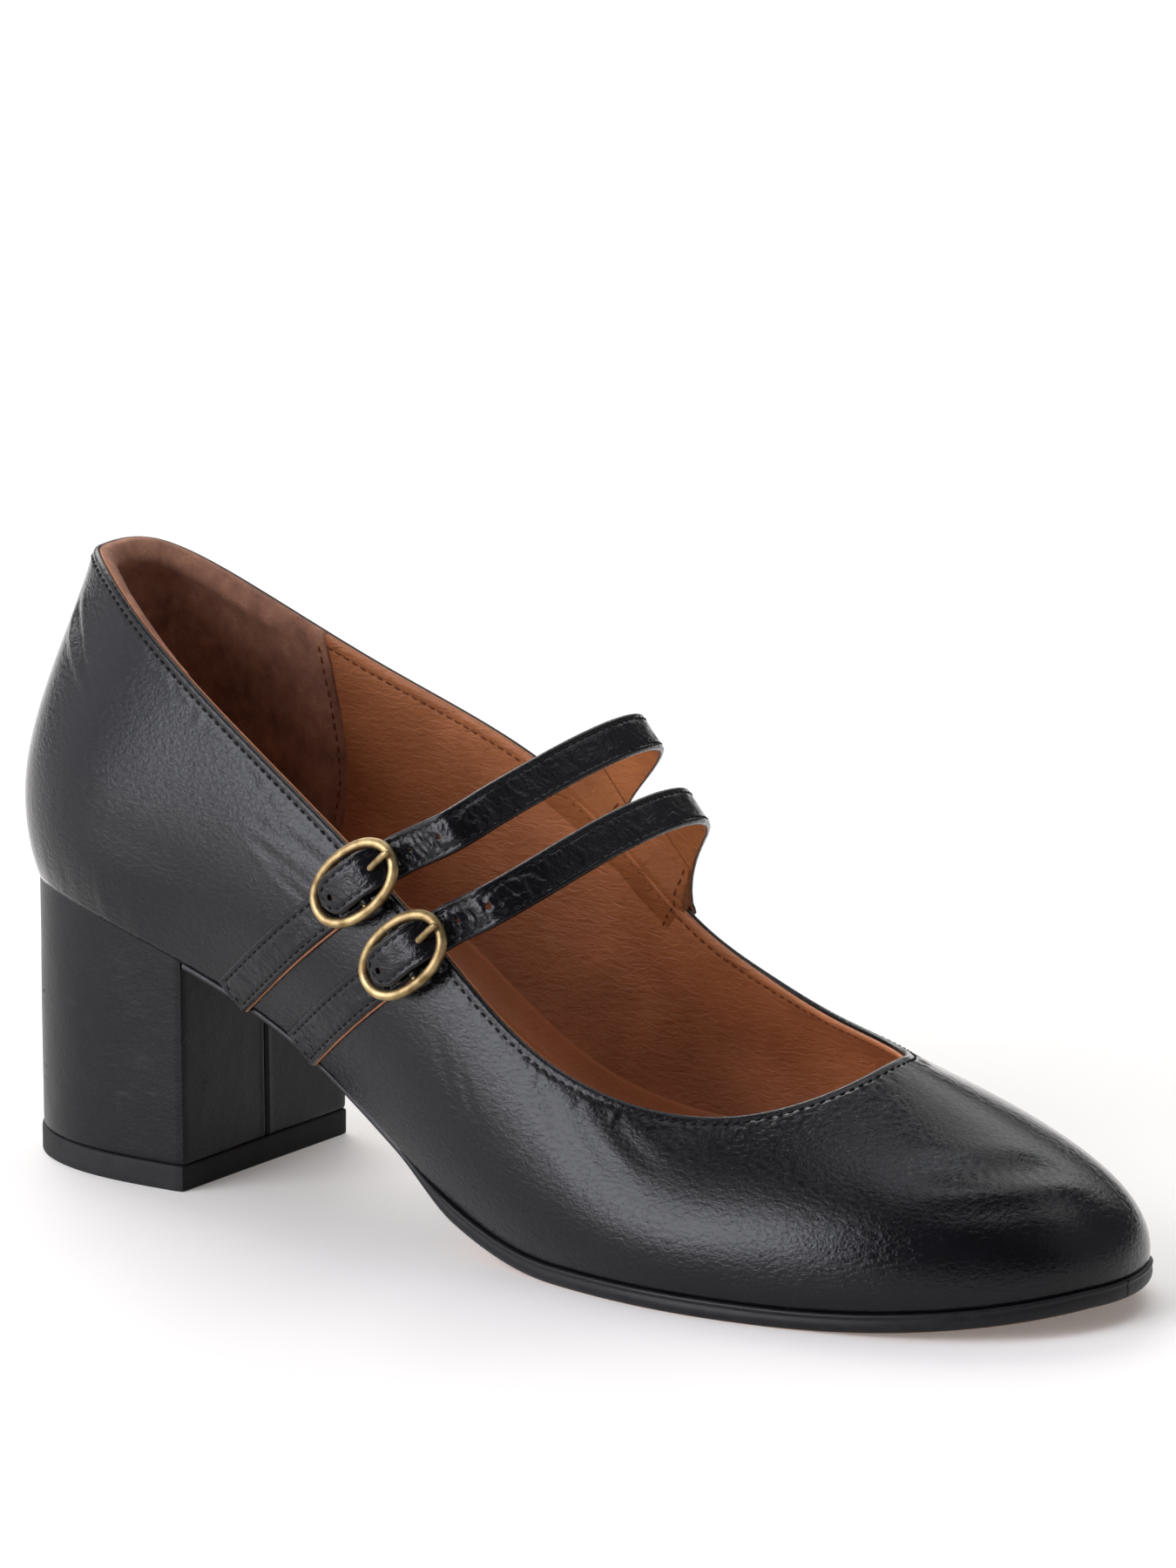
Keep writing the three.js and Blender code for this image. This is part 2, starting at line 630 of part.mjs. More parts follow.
// The strap runs from its tip in the buckle, over the bar and the instep, and down onto
// the inner wall.
function makeStrap(strap, frame) {
  const landed = strap.landing;
  const { point, normal } = findOnWall(landed[0] * gradeX, landed[1], 1);
  const points = [
    ...STRAP_IN_BUCKLE.map(([s, h]) => inFrame(frame, s, 0, h)),
    ...strap.arch.map(([x, y, z]) => V(x * gradeX, y * gradeY, z)),
    plus(point, normal, GAP + STRAP_THICK / 2),
  ];
  const curve = new THREE.CatmullRomCurve3(points, false, "centripetal");
  curve.arcLengthDivisions = 400;
  const length = curve.getLength();
  const count = 50;
  const air = steps(count).slice(0, count).map((t) => {
    const middle = curve.getPointAt(t);
    const ahead = curve.getTangentAt(t);
    const across = plus(ACROSS, ahead, -ACROSS.dot(ahead)).normalize();
    const out = ahead.clone().cross(across).normalize();
    const fromTip = t * length;
    const round = fromTip < TIP_ROUND ? 1 - fromTip / TIP_ROUND : 0;
    const half = (STRAP_WIDTH / 2) * Math.sqrt(1 - TIP_FULLNESS * round ** 2);
    const lower = [half, 0, -half].map((w) => {
      return plus(plus(middle, across, w), out, -STRAP_THICK / 2);
    });
    return ribbonSection(lower, [out, out, out], STRAP_THICK);
  });
  const widths = [STRAP_WIDTH, strap.rootWidth];
  const onWall = stripOnWall(landed, strap.root, 1, widths, 8, STRAP_THICK);
  const solid = toManifold(sweep([...air, ...onWall]));
  return fromManifold(solid.subtract(prongTunnel(frame, PRONG_LINE[0][0], HOLE_RADIUS)));
}

// An oval ring with a bar across its middle; its upper end stands a little higher.
function makeRing(frame) {
  const long = (RING_LONG - RING_WIRE) / 2;
  const short = (RING_SHORT - RING_WIRE) / 2;
  const around = steps(16).slice(0, 16).map((t) => {
    const angle = t * 2 * Math.PI;
    const s = long * Math.cos(angle);
    return inFrame(frame, s, short * Math.sin(angle), RING_STANDOFF + RING_TILT * s);
  });
  const bar = steps(3).map((t) => {
    return inFrame(frame, 0, mix(-short, short, t), BAR_STANDOFF);
  });
  const ring = toManifold(rod(around, RING_WIRE, 8, true));
  return fromManifold(ring.add(toManifold(rod(bar, BAR_WIRE, 8))));
}

// The prong leaves the bar, comes up through the strap and rests on the ring.
function makeProng(frame) {
  return rod(PRONG_LINE.map(([s, h]) => inFrame(frame, s, 0, h)), PRONG_WIRE, 10);
}

// The room that the prong takes in the strap and in the tab.
function prongTunnel(frame, from, radius) {
  const [a, b] = [PRONG_LINE[0], PRONG_LINE[2]];
  const slope = (b[1] - a[1]) / (b[0] - a[0]);
  const line = [from, b[0] + 1].map((s) => inFrame(frame, s, 0, a[1] + (s - a[0]) * slope));
  return toManifold(rod(line, radius * 2, 12));
}

// ---------------------------------------------------------------- assembly
function mesh(name, geometry, look) {
  const made = new THREE.Mesh(geometry, new THREE.MeshStandardMaterial(look));
  made.name = name;
  return made;
}

const shoe = new THREE.Group();
shoe.add(
  mesh("upper", makeUpper(), LEATHER),
  mesh("outsole", makeOutsole(), BOARD),
  mesh("insole", makeInsole(), TAN),
  mesh("heel_block", makeHeelBlock(), COVER),
  mesh("heel_top_piece", makeTopPiece(), RUBBER),
);
for (const [name, strap] of Object.entries(STRAPS)) {
  const frame = buckleFrame(strap);
  shoe.add(
    mesh("strap_" + name, makeStrap(strap, frame), LEATHER),
    mesh("tab_" + name, makeTab(strap, frame), LEATHER),
    mesh("buckle_" + name, makeRing(frame), BRASS),
    mesh("prong_" + name, makeProng(frame), BRASS),
  );
}
const middle = new THREE.Box3().setFromObject(shoe).getCenter(V(0, 0, 0));
shoe.position.set(-middle.x, -middle.y, 0);

const root = new THREE.Group();
root.add(shoe);
export default root;
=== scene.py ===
"""Looks of a woman's mary jane pump: black crinkled patent leather, tan lining, two straps.

Shapes are worked out in millimetres in the shoe's own drawing frame, in which x runs from
the back of the heel to the toe and +y is the inner (medial) side. They are moved into the
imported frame, in metres, when a mesh is made.
"""
import math

import bpy
import numpy as np
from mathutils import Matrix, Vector


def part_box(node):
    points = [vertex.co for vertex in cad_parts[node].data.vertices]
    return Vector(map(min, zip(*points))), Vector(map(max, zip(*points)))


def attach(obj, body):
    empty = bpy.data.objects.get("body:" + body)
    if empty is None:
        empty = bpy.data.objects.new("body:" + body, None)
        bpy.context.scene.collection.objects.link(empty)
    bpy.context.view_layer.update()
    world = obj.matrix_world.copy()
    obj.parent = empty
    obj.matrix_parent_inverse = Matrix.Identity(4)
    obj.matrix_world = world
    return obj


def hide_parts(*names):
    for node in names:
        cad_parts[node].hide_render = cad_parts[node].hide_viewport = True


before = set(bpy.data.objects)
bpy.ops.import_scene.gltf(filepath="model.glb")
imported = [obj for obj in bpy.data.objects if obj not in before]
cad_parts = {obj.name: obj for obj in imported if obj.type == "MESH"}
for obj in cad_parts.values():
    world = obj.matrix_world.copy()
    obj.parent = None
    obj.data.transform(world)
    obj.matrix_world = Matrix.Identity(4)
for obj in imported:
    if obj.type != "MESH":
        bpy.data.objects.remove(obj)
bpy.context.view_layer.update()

MM = 0.001

# ---------------------------------------------------------------- sizes of the shoe
LENGTH = 234.0
WALL = 1.9  # leather and lining together
LEATHER = 1.05  # the leather's own share of it
GAP = 0.3  # between parts that lie on each other
MARGIN = 9.0  # how far the upper turns in under the insole
MARGIN_THICK = 1.3
INSOLE_THICK = 1.6
SOLE_THIN = 1.8
SOLE_THICK = 3.6
SOLE_EDGE = 0.6  # how far the sole shows past the feather edge at the forefoot
FOREFOOT_START = 98.0  # from here the sole grows to its full thickness and width
FOREFOOT_GROWTH = 16.0
TREAD_START = 140.0  # the sole lies on the floor from here
TREAD_END = 184.0  # to here, and then rises to the toe
TOE_SPRING = 4.2
HEEL_HEIGHT = 53.4
HEEL_BREAST = 49.5
HEEL_TAPER = 0.98  # its width at the floor over its width at the seat
HEEL_INSET = 0.2
TOP_PIECE = 4.8  # height of the heel's rubber tip
TIP_PROUD = 0.25  # how far the tip stands out past the cover

STRAP_WIDTH = 7.6
STRAP_THICK = 1.4
STRAP_LINING = 0.5  # the tan layer's part of a strap's or tab's thickness
TAB_THICK = 1.1
STRAP_SLOPE = (0.76, 0.0, 0.65)  # the straps' direction in side view
RING_LONG = 20.6
RING_SHORT = 13.6
RING_WIRE = 1.95
BAR_WIRE = 1.4
PRONG_WIRE = 1.45
RING_STANDOFF = 3.1
RING_TILT = 0.07  # rise for each millimetre along the strap
BAR_STANDOFF = 2.9
TIP_ROUND = 4.0  # length of the strap's rounded tip
TAB_LINING_SHIFT = 0.22  # the tabs' tan layer peeks out on the toe side only
HOLE_RADIUS = 0.62
ROOT_SIDE = 20.0  # past this y a strap may come near the inner wall

BEAD = 0.55  # radius of the folded edge round the topline
STITCH_DROP = 1.75  # the stitch row's distance under the topline
STITCH_PITCH = 1.95
THREAD = 0.23  # radius of the thread
FINE_THREAD = 0.17  # radius of the straps' and the lining's thread

# One row for each rib round the shoe, from the back of the heel along the outer side to
# the toe, and home along the inner side: the foot and the top of the rib, and how it
# leaves the one and meets the other.
RIB_COLUMNS = (
    "footX", "footY", "topX", "topY", "topZ", "flare", "rise", "lean", "sweep", "hold",
)
RIBS = [
    [4, 0, 12.4, 0.5, 112.2, 16, 22.5, 15, 3, 26],
    [11, -18.2, 19.2, -10.2, 111.8, 18, 22.7, 16.5, 3.6, 26.4],
    [28, -26.4, 35, -19.9, 104.6, 17.9, 21.5, 15.8, 10, 24.3],
    [50, -26.9, 58.8, -26.5, 91, 17.8, 20.2, 14.1, 20.8, 22],
    [72, -26.9, 84.8, -30.8, 75.9, 20.2, 19, 14.2, 32, 20],
    [95, -28.1, 108.9, -33.6, 59.9, 21.9, 17, 15.9, 38, 17],
    [120, -32.6, 130.6, -34.8, 43.4, 21.9, 15, 23.9, 30, 14],
    [145, -38.6, 150.7, -32.2, 34.6, 20, 14, 38, 10, 13],
    [168, -40.4, 165.8, -26.4, 32.6, 17, 14, 52, -5, 14],
    [191, -37, 178, -20, 34.9, 14, 15.1, 62, 0, 18],
    [212, -30.2, 185.2, -11.2, 38.2, 12, 16.9, 68, 0, 24],
    [228.6, -18, 187.4, -3, 40.2, 9.5, 17.1, 69.5, 0, 29.5],
    [235.6, -0.5, 186.4, 4.2, 40, 7.7, 15.6, 67, 0, 31],
    [231.8, 14.8, 182.8, 11, 38.6, 8, 14, 64.4, 0.6, 28.3],
    [217, 27.8, 176.4, 17.2, 37.8, 10.4, 13.7, 60, 0.7, 23.7],
    [195, 35.3, 168.6, 21, 38.2, 13.2, 13.4, 56, 0.4, 18.4],
    [170, 37.4, 155.6, 24.9, 40, 15.8, 14.4, 48, -4, 14.8],
    [146, 33.6, 140.5, 28, 44.2, 22, 15.9, 33.6, 15, 15],
    [120, 25.1, 123.7, 28.9, 52.8, 30, 17.1, 20.1, 34, 16],
    [97, 19.6, 107.4, 28.2, 66.9, 36, 18.1, 14.1, 41, 18],
    [75, 19.8, 87, 26, 79.8, 31.9, 20, 12, 33.9, 20],
    [52, 24.6, 59, 23.2, 91.2, 22, 21, 12.5, 20, 22],
    [29, 25.4, 32.6, 19.9, 103, 18.2, 21.1, 13.5, 8.4, 24],
    [11.5, 17.4, 16.6, 12, 111.3, 17, 22.2, 14.5, 2.5, 26.1],
]
TOE_RIB = 12
CAD_RIBS = 100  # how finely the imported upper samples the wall
CAD_LEVELS = (0, 0.04, 0.1, 0.18, 0.28, 0.4, 0.52, 0.64, 0.76, 0.88, 1)
STEP_U, STEP_V = 0.5, 0.004  # the steps by which directions on the wall are measured

# The feather edge in side view: x, height over the floor.
SHANK_LINE = [
    [0, 53.4], [22, 51.2], [45, 45.1], [60, 39.8], [75, 33], [90, 23.5],
    [105, 13.6], [120, 6.8], [TREAD_START, SOLE_THICK],
]

# Each strap: where its tab starts at the feather edge and where its buckle's bar stands on
# the outer wall (x, z), points of the strap's middle line in the air (x, y, z), where it
# lands on the inner wall and ends there (x, z), and by how much it flares into the topline
# on its toe side (-1) and its heel side (1), over what distance.
STRAPS = {
    "rear": {
        "foot": (62.2, 39.6),
        "buckle": (95.6, 66),
        "arch": [
            (113.4, -30.6, 77.7), (116.8, -22.4, 81.3), (119.1, -12.4, 84.2),
            (121.1, -2.2, 86.7), (122, 7.8, 88), (121.2, 17, 87.6), (118.2, 24.2, 85.2),
            (111.6, 29, 79.4),
        ],
        "landing": (100.6, 70),
        "root": (92.8, 63.3),
        "root_width": 10,
        "flare": {-1: (6.5, 5.0), 1: (3.0, 4.0)},
    },
    "front": {
        "foot": (78, 32.2),
        "buckle": (107.6, 55),
        "arch": [
            (123.2, -33, 65.8), (127.6, -26, 69.5), (130.3, -17.4, 72.6),
            (132.5, -8, 75.2), (134.3, 0.6, 76.9), (134.4, 9, 77), (132.6, 17, 75.4),
            (128, 24.4, 71.6), (121, 29, 65.4),
        ],
        "landing": (114.6, 59.6),
        "root": (107, 53),
        "root_width": 12,
        "flare": {-1: (8.5, 4.6), 1: (4.5, 4.0)},
    },
}
# The strap's middle line through its buckle: s along the strap from the bar towards the
# instep, h over the wall.
STRAP_IN_BUCKLE = [
    (-7.2, 3.1), (-4.8, 4), (-2.4, 4.6), (0, 4.8), (2, 4.8), (4, 4.3), (5.8, 3.0),
    (7.8, 1.3), (10.2, 0.4),
]
PRONG_LINE = [(1.8, 3.1), (4, 3.9), (6.6, 4.9), (9.2, 5.75), (10.6, 5.85)]
STRAP_HOLES = (-4.6, 13.6, 20.4)  # s of the holes that show; the prong's own is at its rise

# Creases of the outer leather: they run from one place on the wall to another, each given
# as the distance round the feather edge and the height share v. Depth is along the
# normal: a trough is positive, a ridge negative.
CREASES = [
    # u, v, u, v, depth, half width
    (15, 0.87, 27, 0.80, 0.6, 1.1),
    (18, 0.83, 32, 0.765, 0.5, 0.8),
    (20, 0.80, 34, 0.73, -0.3, 0.9),
    (21, 0.785, 35, 0.745, 0.3, 0.6),
    (74, 0.765, 88, 0.795, 0.30, 0.9),
    (77, 0.87, 88, 0.895, 0.26, 0.9),
    (78, 0.735, 89, 0.735, 0.22, 0.8),
    (73, 0.825, 88, 0.845, 0.18, 1.0),
    (30, 0.30, 74, 0.46, 0.14, 3.2),
    (118, 0.76, 128, 0.50, 0.13, 1.3),
    (124, 0.72, 133, 0.52, 0.12, 1.0),
    (140, 0.90, 158, 0.56, 0.18, 1.8),
    (147, 0.88, 164, 0.60, 0.14, 1.4),
    (154, 0.92, 172, 0.66, 0.16, 1.7),
    (226, 0.61, 260, 0.52, 0.46, 2.4),
    (228, 0.48, 262, 0.41, -0.34, 1.9),
    (298, 0.70, 322, 0.52, 0.16, 2.2),
    (352, 0.86, 372, 0.62, 0.14, 1.8),
]

# ---------------------------------------------------------------- small helpers
SEED = 20377


def unit(a):
    return a / np.maximum(np.linalg.norm(a, axis=-1, keepdims=True), 1e-12)


def smooth(t):
    t = np.clip(t, 0.0, 1.0)
    return t * t * (3 - 2 * t)


def mix(a, b, t):
    return a + (b - a) * t


def bump_at(x, middle, half):
    """A soft hump of height 1 about middle."""
    return np.exp(-(((x - middle) / half) ** 2))


class Spline:
    """A cubic spline. With a period it repeats; without one it is straight at its start and
    level at its end."""

    def __init__(self, knots, values, period=0.0):
        self.period = period
        if period:
            knots, values = [*knots, knots[0] + period], [*values, values[0]]
        self.knots, self.values = np.array(knots, float), np.array(values, float)
        span = np.diff(self.knots)
        slope = np.diff(self.values) / span
        n = len(self.values)
        matrix, right = np.zeros((n, n)), np.zeros(n)
        for i in range(1, n - 1):
            matrix[i, i - 1 : i + 2] = span[i - 1], 2 * (span[i - 1] + span[i]), span[i]
            right[i] = 6 * (slope[i] - slope[i - 1])
        matrix[0, 0] = 1
        matrix[-1, -2:] = span[-1], 2 * span[-1]
        right[-1] = -6 * slope[-1]
        if period:
            matrix[0, -1] = -1
            matrix[-1, :2] = 2 * span[0], span[0]
            right[-1] += 6 * slope[0]
        self.bend = np.linalg.solve(matrix, right)

    def __call__(self, t):
        t = np.mod(t, self.period) if self.period else np.asarray(t, float)
        k, y, m = self.knots, self.values, self.bend
        i = np.clip(np.searchsorted(k, t, side="right") - 1, 0, len(k) - 2)
        span = k[i + 1] - k[i]
        a = (k[i + 1] - t) / span
        b = 1 - a
        sag = ((a**3 - a) * m[i] + (b**3 - b) * m[i + 1]) * span**2 / 6
        return a * y[i] + b * y[i + 1] + sag


def noise(p, seed=0):
    """Smooth values from -1 to 1 at points p, with one lattice cell per unit."""
    base = np.floor(p).astype(np.int64)
    part = p - base
    ease = part**3 * (part * (part * 6 - 15) + 10)
    total = np.zeros(p.shape[:-1])
    for corner in range(8):
        offset = np.array([corner & 1, corner >> 1 & 1, corner >> 2 & 1])
        cell = base + offset
        mixed = cell[..., 0] * 73856093 ^ cell[..., 1] * 19349663 ^ cell[..., 2] * 83492791
        mixed = (mixed ^ (SEED + seed * 7919)) & 0x7FFFFFFF
        mixed = (mixed ^ mixed >> 13) * 1274126177 & 0x7FFFFFFF
        value = (mixed ^ mixed >> 15) / 0x3FFFFFFF - 1.0
        weight = np.prod(np.where(offset == 1, ease, 1 - ease), axis=-1)
        total += weight * value
    return total


def noise_over(x, y, seed, z=0.0):
    """The same at places given by their coordinates."""
    return noise(np.stack([x, y, z + 0 * x], -1), seed)


def run_along(line):
    """The distance along a line to each of its points."""
    return np.concatenate([[0], np.cumsum(np.linalg.norm(np.diff(line, axis=0), axis=1))])


def read_off(at, run, values):
    """Vectors that are known at the distances `run` along a line, at other distances."""
    return np.stack([np.interp(at, run, values[:, c]) for c in range(3)], -1)


def line_through(points, count):
    """Evenly spaced points on a centripetal Catmull-Rom curve through these points."""
    p = np.array(points, float)
    p = np.vstack([2 * p[0] - p[1], p, 2 * p[-1] - p[-2]])
    k = np.concatenate([[0], np.cumsum(np.linalg.norm(np.diff(p, axis=0), axis=1) ** 0.5)])
    t = np.linspace(k[1], k[-2] - 1e-9, 40 * len(p))
    i = np.clip(np.searchsorted(k, t, side="right") - 1, 1, len(p) - 3)

    def blend(a, b, pa, pb):
        return mix(pa, pb, ((t - k[a]) / (k[b] - k[a]))[:, None])

    a1, a2, a3 = (blend(i + j, i + j + 1, p[i + j], p[i + j + 1]) for j in (-1, 0, 1))
    b1, b2 = blend(i - 1, i + 1, a1, a2), blend(i, i + 2, a2, a3)
    line = blend(i, i + 1, b1, b2)
    run = run_along(line)
    return read_off(np.linspace(0, run[-1], count), run, line)


# ---------------------------------------------------------------- the last's wall
shank_height = Spline(*zip(*SHANK_LINE))


def feather_z(x):
    """Height of the feather edge over the floor."""
    beyond = np.clip((x - TREAD_END) / (LENGTH - TREAD_END), 0, 1)
    ahead = SOLE_THICK + TOE_SPRING * beyond**2
    return np.where(x < TREAD_START, shank_height(np.minimum(x, TREAD_START)), ahead)


def forefoot(x):
    """0 under the arch, 1 under the forefoot."""
    return smooth((x - FOREFOOT_START) / FOREFOOT_GROWTH)


_ribs = np.array(RIBS, float)
_steps = np.linalg.norm(np.roll(_ribs[:, :2], -1, axis=0) - _ribs[:, :2], axis=1)
AROUND = float(_steps.sum())  # length of the feather edge
RIB_KNOTS = np.concatenate([[0], np.cumsum(_steps)[:-1]])
TOE = float(RIB_KNOTS[TOE_RIB])
column = {n: Spline(RIB_KNOTS, _ribs[:, c], AROUND) for c, n in enumerate(RIB_COLUMNS)}


def plan_outward(foot_or_top, u):
    """The way out of the shoe in plan, square to the line of the ribs' feet or tops."""
    x, y = (column[foot_or_top + axis] for axis in "XY")
    dx, dy = (at(u + STEP_U) - at(u - STEP_U) for at in (x, y))
    return unit(np.stack([dy, -dx, np.zeros_like(dx)], -1))


def rib(u):
    """The rib's control points at u, and the way out of the shoe at its foot."""
    at = {name: column[name](np.asarray(u, float)) for name in RIB_COLUMNS}
    foot = np.stack([at["footX"], at["footY"], feather_z(at["footX"])], -1)
    top = np.stack([at["topX"], at["topY"], at["topZ"]], -1)
    flare, lean, swept = (np.radians(at[n])[..., None] for n in ("flare", "lean", "sweep"))
    out, inward = plan_outward("foot", u), -plan_outward("top", u)
    away = out * np.sin(flare) + np.array([0, 0, 1.0]) * np.cos(flare)
    up = np.concatenate([np.sin(swept), 0 * swept, np.cos(swept)], -1)
    arrive = unit(inward * np.sin(lean) + up * np.cos(lean))
    low = foot + away * at["rise"][..., None]
    high = top - arrive * at["hold"][..., None]
    return foot, low, high, top, out


def wall(u, v):
    """A point of the wall's outer face: v = 0 at the feather edge, 1 at the topline."""
    u, v = np.broadcast_arrays(np.asarray(u, float), np.asarray(v, float))
    foot, low, high, top, _ = rib(u)
    v = v[..., None]
    w = 1 - v
    return foot * w**3 + low * 3 * w * w * v + high * 3 * w * v * v + top * v**3


def wall_up(u, v):
    """The direction up the rib."""
    return unit(wall(u, np.minimum(v + STEP_V, 1)) - wall(u, np.maximum(v - STEP_V, 0)))


def wall_normal(u, v):
    """The way out of the shoe, square to the wall."""
    along = wall(u + STEP_U, v) - wall(u - STEP_U, v)
    return unit(np.cross(along, wall_up(u, v)))


def top_speed(u):
    """Millimetres up the wall for each unit of v at the topline."""
    step = 0.01
    return np.linalg.norm(wall(u, 1.0) - wall(u, 1.0 - step), axis=-1) / step


def runs_down(u, count=240):
    """Levels of v from the topline down, and at each u how far under it they lie."""
    levels = np.linspace(1, 0, count)
    steps = np.linalg.norm(np.diff(wall(u[:, None], levels), axis=1), axis=-1)
    return levels, np.pad(np.cumsum(steps, axis=1), ((0, 0), (1, 0)))


def under_top(u, distances):
    """The v of the points that lie these distances under the topline, a row for each u."""
    levels, runs = runs_down(u)
    inside = np.array([np.interp(distances, run, levels) for run in runs])
    return inside - np.minimum(distances, 0) / top_speed(u)[:, None]


def drop_from_top(u, v):
    """How far each point of a grid u by v lies under the topline."""
    levels, runs = runs_down(u[:, 0])
    inside = np.array([np.interp(1 - row, 1 - levels, run) for row, run in zip(v, runs)])
    return inside - np.maximum(v - 1, 0) * top_speed(u[:, 0])[:, None]


def all_round(count):
    """The u of evenly spaced places all round the shoe."""
    return np.arange(count) / count * AROUND


def wall_grid(u, near_top, count, last):
    """The u and v of a grid over the wall, a row for each u. Its columns lie first at these
    distances under the topline, then in even steps down to `last` of the v that is left."""
    near = under_top(u, near_top)
    v = np.concatenate([near, near[:, -1:] * np.linspace(1, last, count + 1)[1:]], axis=1)
    return np.broadcast_to(u[:, None], v.shape), v


def find_on_wall(x, z, side):
    """u and v of the wall's points at these x and z, on the outer side (-1) or inner (1).
    It goes there in steps that are kept short, so that it never leaves the wall."""
    x, z = np.broadcast_arrays(np.asarray(x, float), np.asarray(z, float))
    u = TOE * x / LENGTH if side < 0 else AROUND - (AROUND - TOE) * x / LENGTH
    v = np.full_like(u, 0.7)
    probe_u, probe_v = 0.2, 0.002
    longest_u, longest_v = 12, 0.3
    lowest, highest = -0.05, 1.12
    for _ in range(14):
        here = wall(u, v)
        du = (wall(u + probe_u, v) - here) / probe_u
        dv = (wall(u, v + probe_v) - here) / probe_v
        det = du[..., 0] * dv[..., 2] - du[..., 2] * dv[..., 0]
        ex, ez = x - here[..., 0], z - here[..., 2]
        step_u, step_v = ex * dv[..., 2] - ez * dv[..., 0], ez * du[..., 0] - ex * du[..., 2]
        u = u + np.clip(step_u / det, -longest_u, longest_u)
        v = np.clip(v + np.clip(step_v / det, -longest_v, longest_v), lowest, highest)
    return u, v


def spot_on_wall(x, z, side, lift=0.0):
    """The wall's points at these x and z, lifted off its outer face, and its normals."""
    u, v = find_on_wall(x, z, side)
    normal = wall_normal(u, v)
    return wall(u, v) + normal * lift, normal


def shift_to_frame():
    """The drawing frame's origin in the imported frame, in mm: it brings the wall, sampled as
    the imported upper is, to that node's place."""
    u = np.arange(CAD_RIBS) / CAD_RIBS * AROUND
    points = wall(u[:, None], np.array(CAD_LEVELS)[None, :]).reshape(-1, 3)
    low = np.array(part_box("upper")[0]) / MM
    return np.array([low[0] - points[:, 0].min(), low[1] - points[:, 1].min(), 0.0])


SHIFT = shift_to_frame()


def to_frame(points):
    return (np.asarray(points, float) + SHIFT) * MM


# ---------------------------------------------------------------- making pieces
def sweep(sections, closed=False):
    """Joins a row of rings into one closed surface: end to end, or with its ends capped."""
    rows, columns = sections.shape[:2]
    r = np.arange(rows if closed else rows - 1)
    r, c = np.meshgrid(r, np.arange(columns), indexing="ij")
    next_r, next_c = (r + 1) % rows, (c + 1) % columns
    corners = [(r, c), (r, next_c), (next_r, next_c), (next_r, c)]
    faces = np.stack([a * columns + b for a, b in corners], -1).reshape(-1, 4).tolist()
    if not closed:
        faces.append(list(range(columns))[::-1])
        faces.append(list(range((rows - 1) * columns, rows * columns)))
    return sections.reshape(-1, 3), faces


def sheet(face, back, closed=False):
    """A closed shape between two grids of points."""
    return sweep(np.concatenate([face, back[:, ::-1]], axis=1), closed)


def joined(parts):
    """Several (points, faces) as one."""
    points, faces, start = [], [], 0
    for more, quads in parts:
        points.append(more)
        faces.extend([[i + start for i in f] for f in quads])
        start += len(more)
    return np.vstack(points), faces


def new_object(name, shape):
    """A mesh object from (points, faces) in drawing millimetres."""
    mesh = bpy.data.meshes.new(name)
    mesh.from_pydata(to_frame(shape[0]).tolist(), [], shape[1])
    obj = bpy.data.objects.new(name, mesh)
    bpy.context.scene.collection.objects.link(obj)
    bpy.context.view_layer.objects.active = obj
    return obj


def piece(name, shape, material, replaces=()):
    """A finished piece of the shoe from a closed (points, faces)."""
    obj = new_object(name, shape)
    obj.data.polygons.foreach_set("use_smooth", [True] * len(obj.data.polygons))
    obj.data.materials.append(material)
    obj.select_set(True)
    bpy.ops.object.mode_set(mode="EDIT")
    bpy.ops.mesh.select_all(action="SELECT")
    bpy.ops.mesh.normals_make_consistent(inside=False)
    bpy.ops.object.mode_set(mode="OBJECT")
    obj.select_set(False)
    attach(obj, "root")
    if replaces:
        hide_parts(*replaces)
    return obj


def sharp_edges(obj, degrees=50):
    """Keeps edges that turn by more than this crisp in the shading."""
    bpy.context.view_layer.objects.active = obj
    obj.select_set(True)
    bpy.ops.object.shade_smooth_by_angle(angle=math.radians(degrees))
    obj.select_set(False)


def rings_round(line, side, other, radius, sides):
    """A ring of points round each point of a line, in the plane of two directions."""
    angles = np.arange(sides) / sides * 2 * np.pi
    return np.stack([line + (side * np.cos(a) + other * np.sin(a)) * radius for a in angles], -2)


def stitches(line, normals, pitch=STITCH_PITCH, radius=THREAD, sunk=0.16):
    """A row of stitches: short threads that dive into the leather at both ends."""
    run = run_along(line)
    count = int(run[-1] // pitch)
    length = 0.7 * pitch
    t = np.linspace(0, 1, 6)
    start = (np.arange(count) + 0.5) * (run[-1] / count) - length / 2
    at = start[:, None] + t * length
    up = unit(read_off(at, run, normals))
    arch = (radius * 0.75 + sunk) * np.sin(np.pi * t) ** 0.7 - sunk
    middle = read_off(at, run, line) + up * arch[:, None]
    along = unit(np.gradient(middle, axis=1))
    side = unit(np.cross(along, up))
    thick = radius * np.array([0.55, 0.95, 1, 1, 0.95, 0.55])[:, None]
    return joined([sweep(r) for r in rings_round(middle, side, np.cross(side, along), thick, 6)])


def rod(line, radius, sides, closed=False):
    """A round rod along a line; radius is one number or one for each point."""
    along = unit(np.gradient(line, axis=0))
    if closed:
        along = unit(np.roll(line, -1, axis=0) - np.roll(line, 1, axis=0))
    side = np.zeros_like(line)
    hint = np.array([0.31, 0.17, 0.94])  # no rod starts out along this
    for i, way in enumerate(along):
        hint = unit(hint - way * (hint @ way))
        side[i] = hint
    radius = np.broadcast_to(radius, len(line))[:, None]
    return sweep(rings_round(line, side, np.cross(along, side), radius, sides), closed)


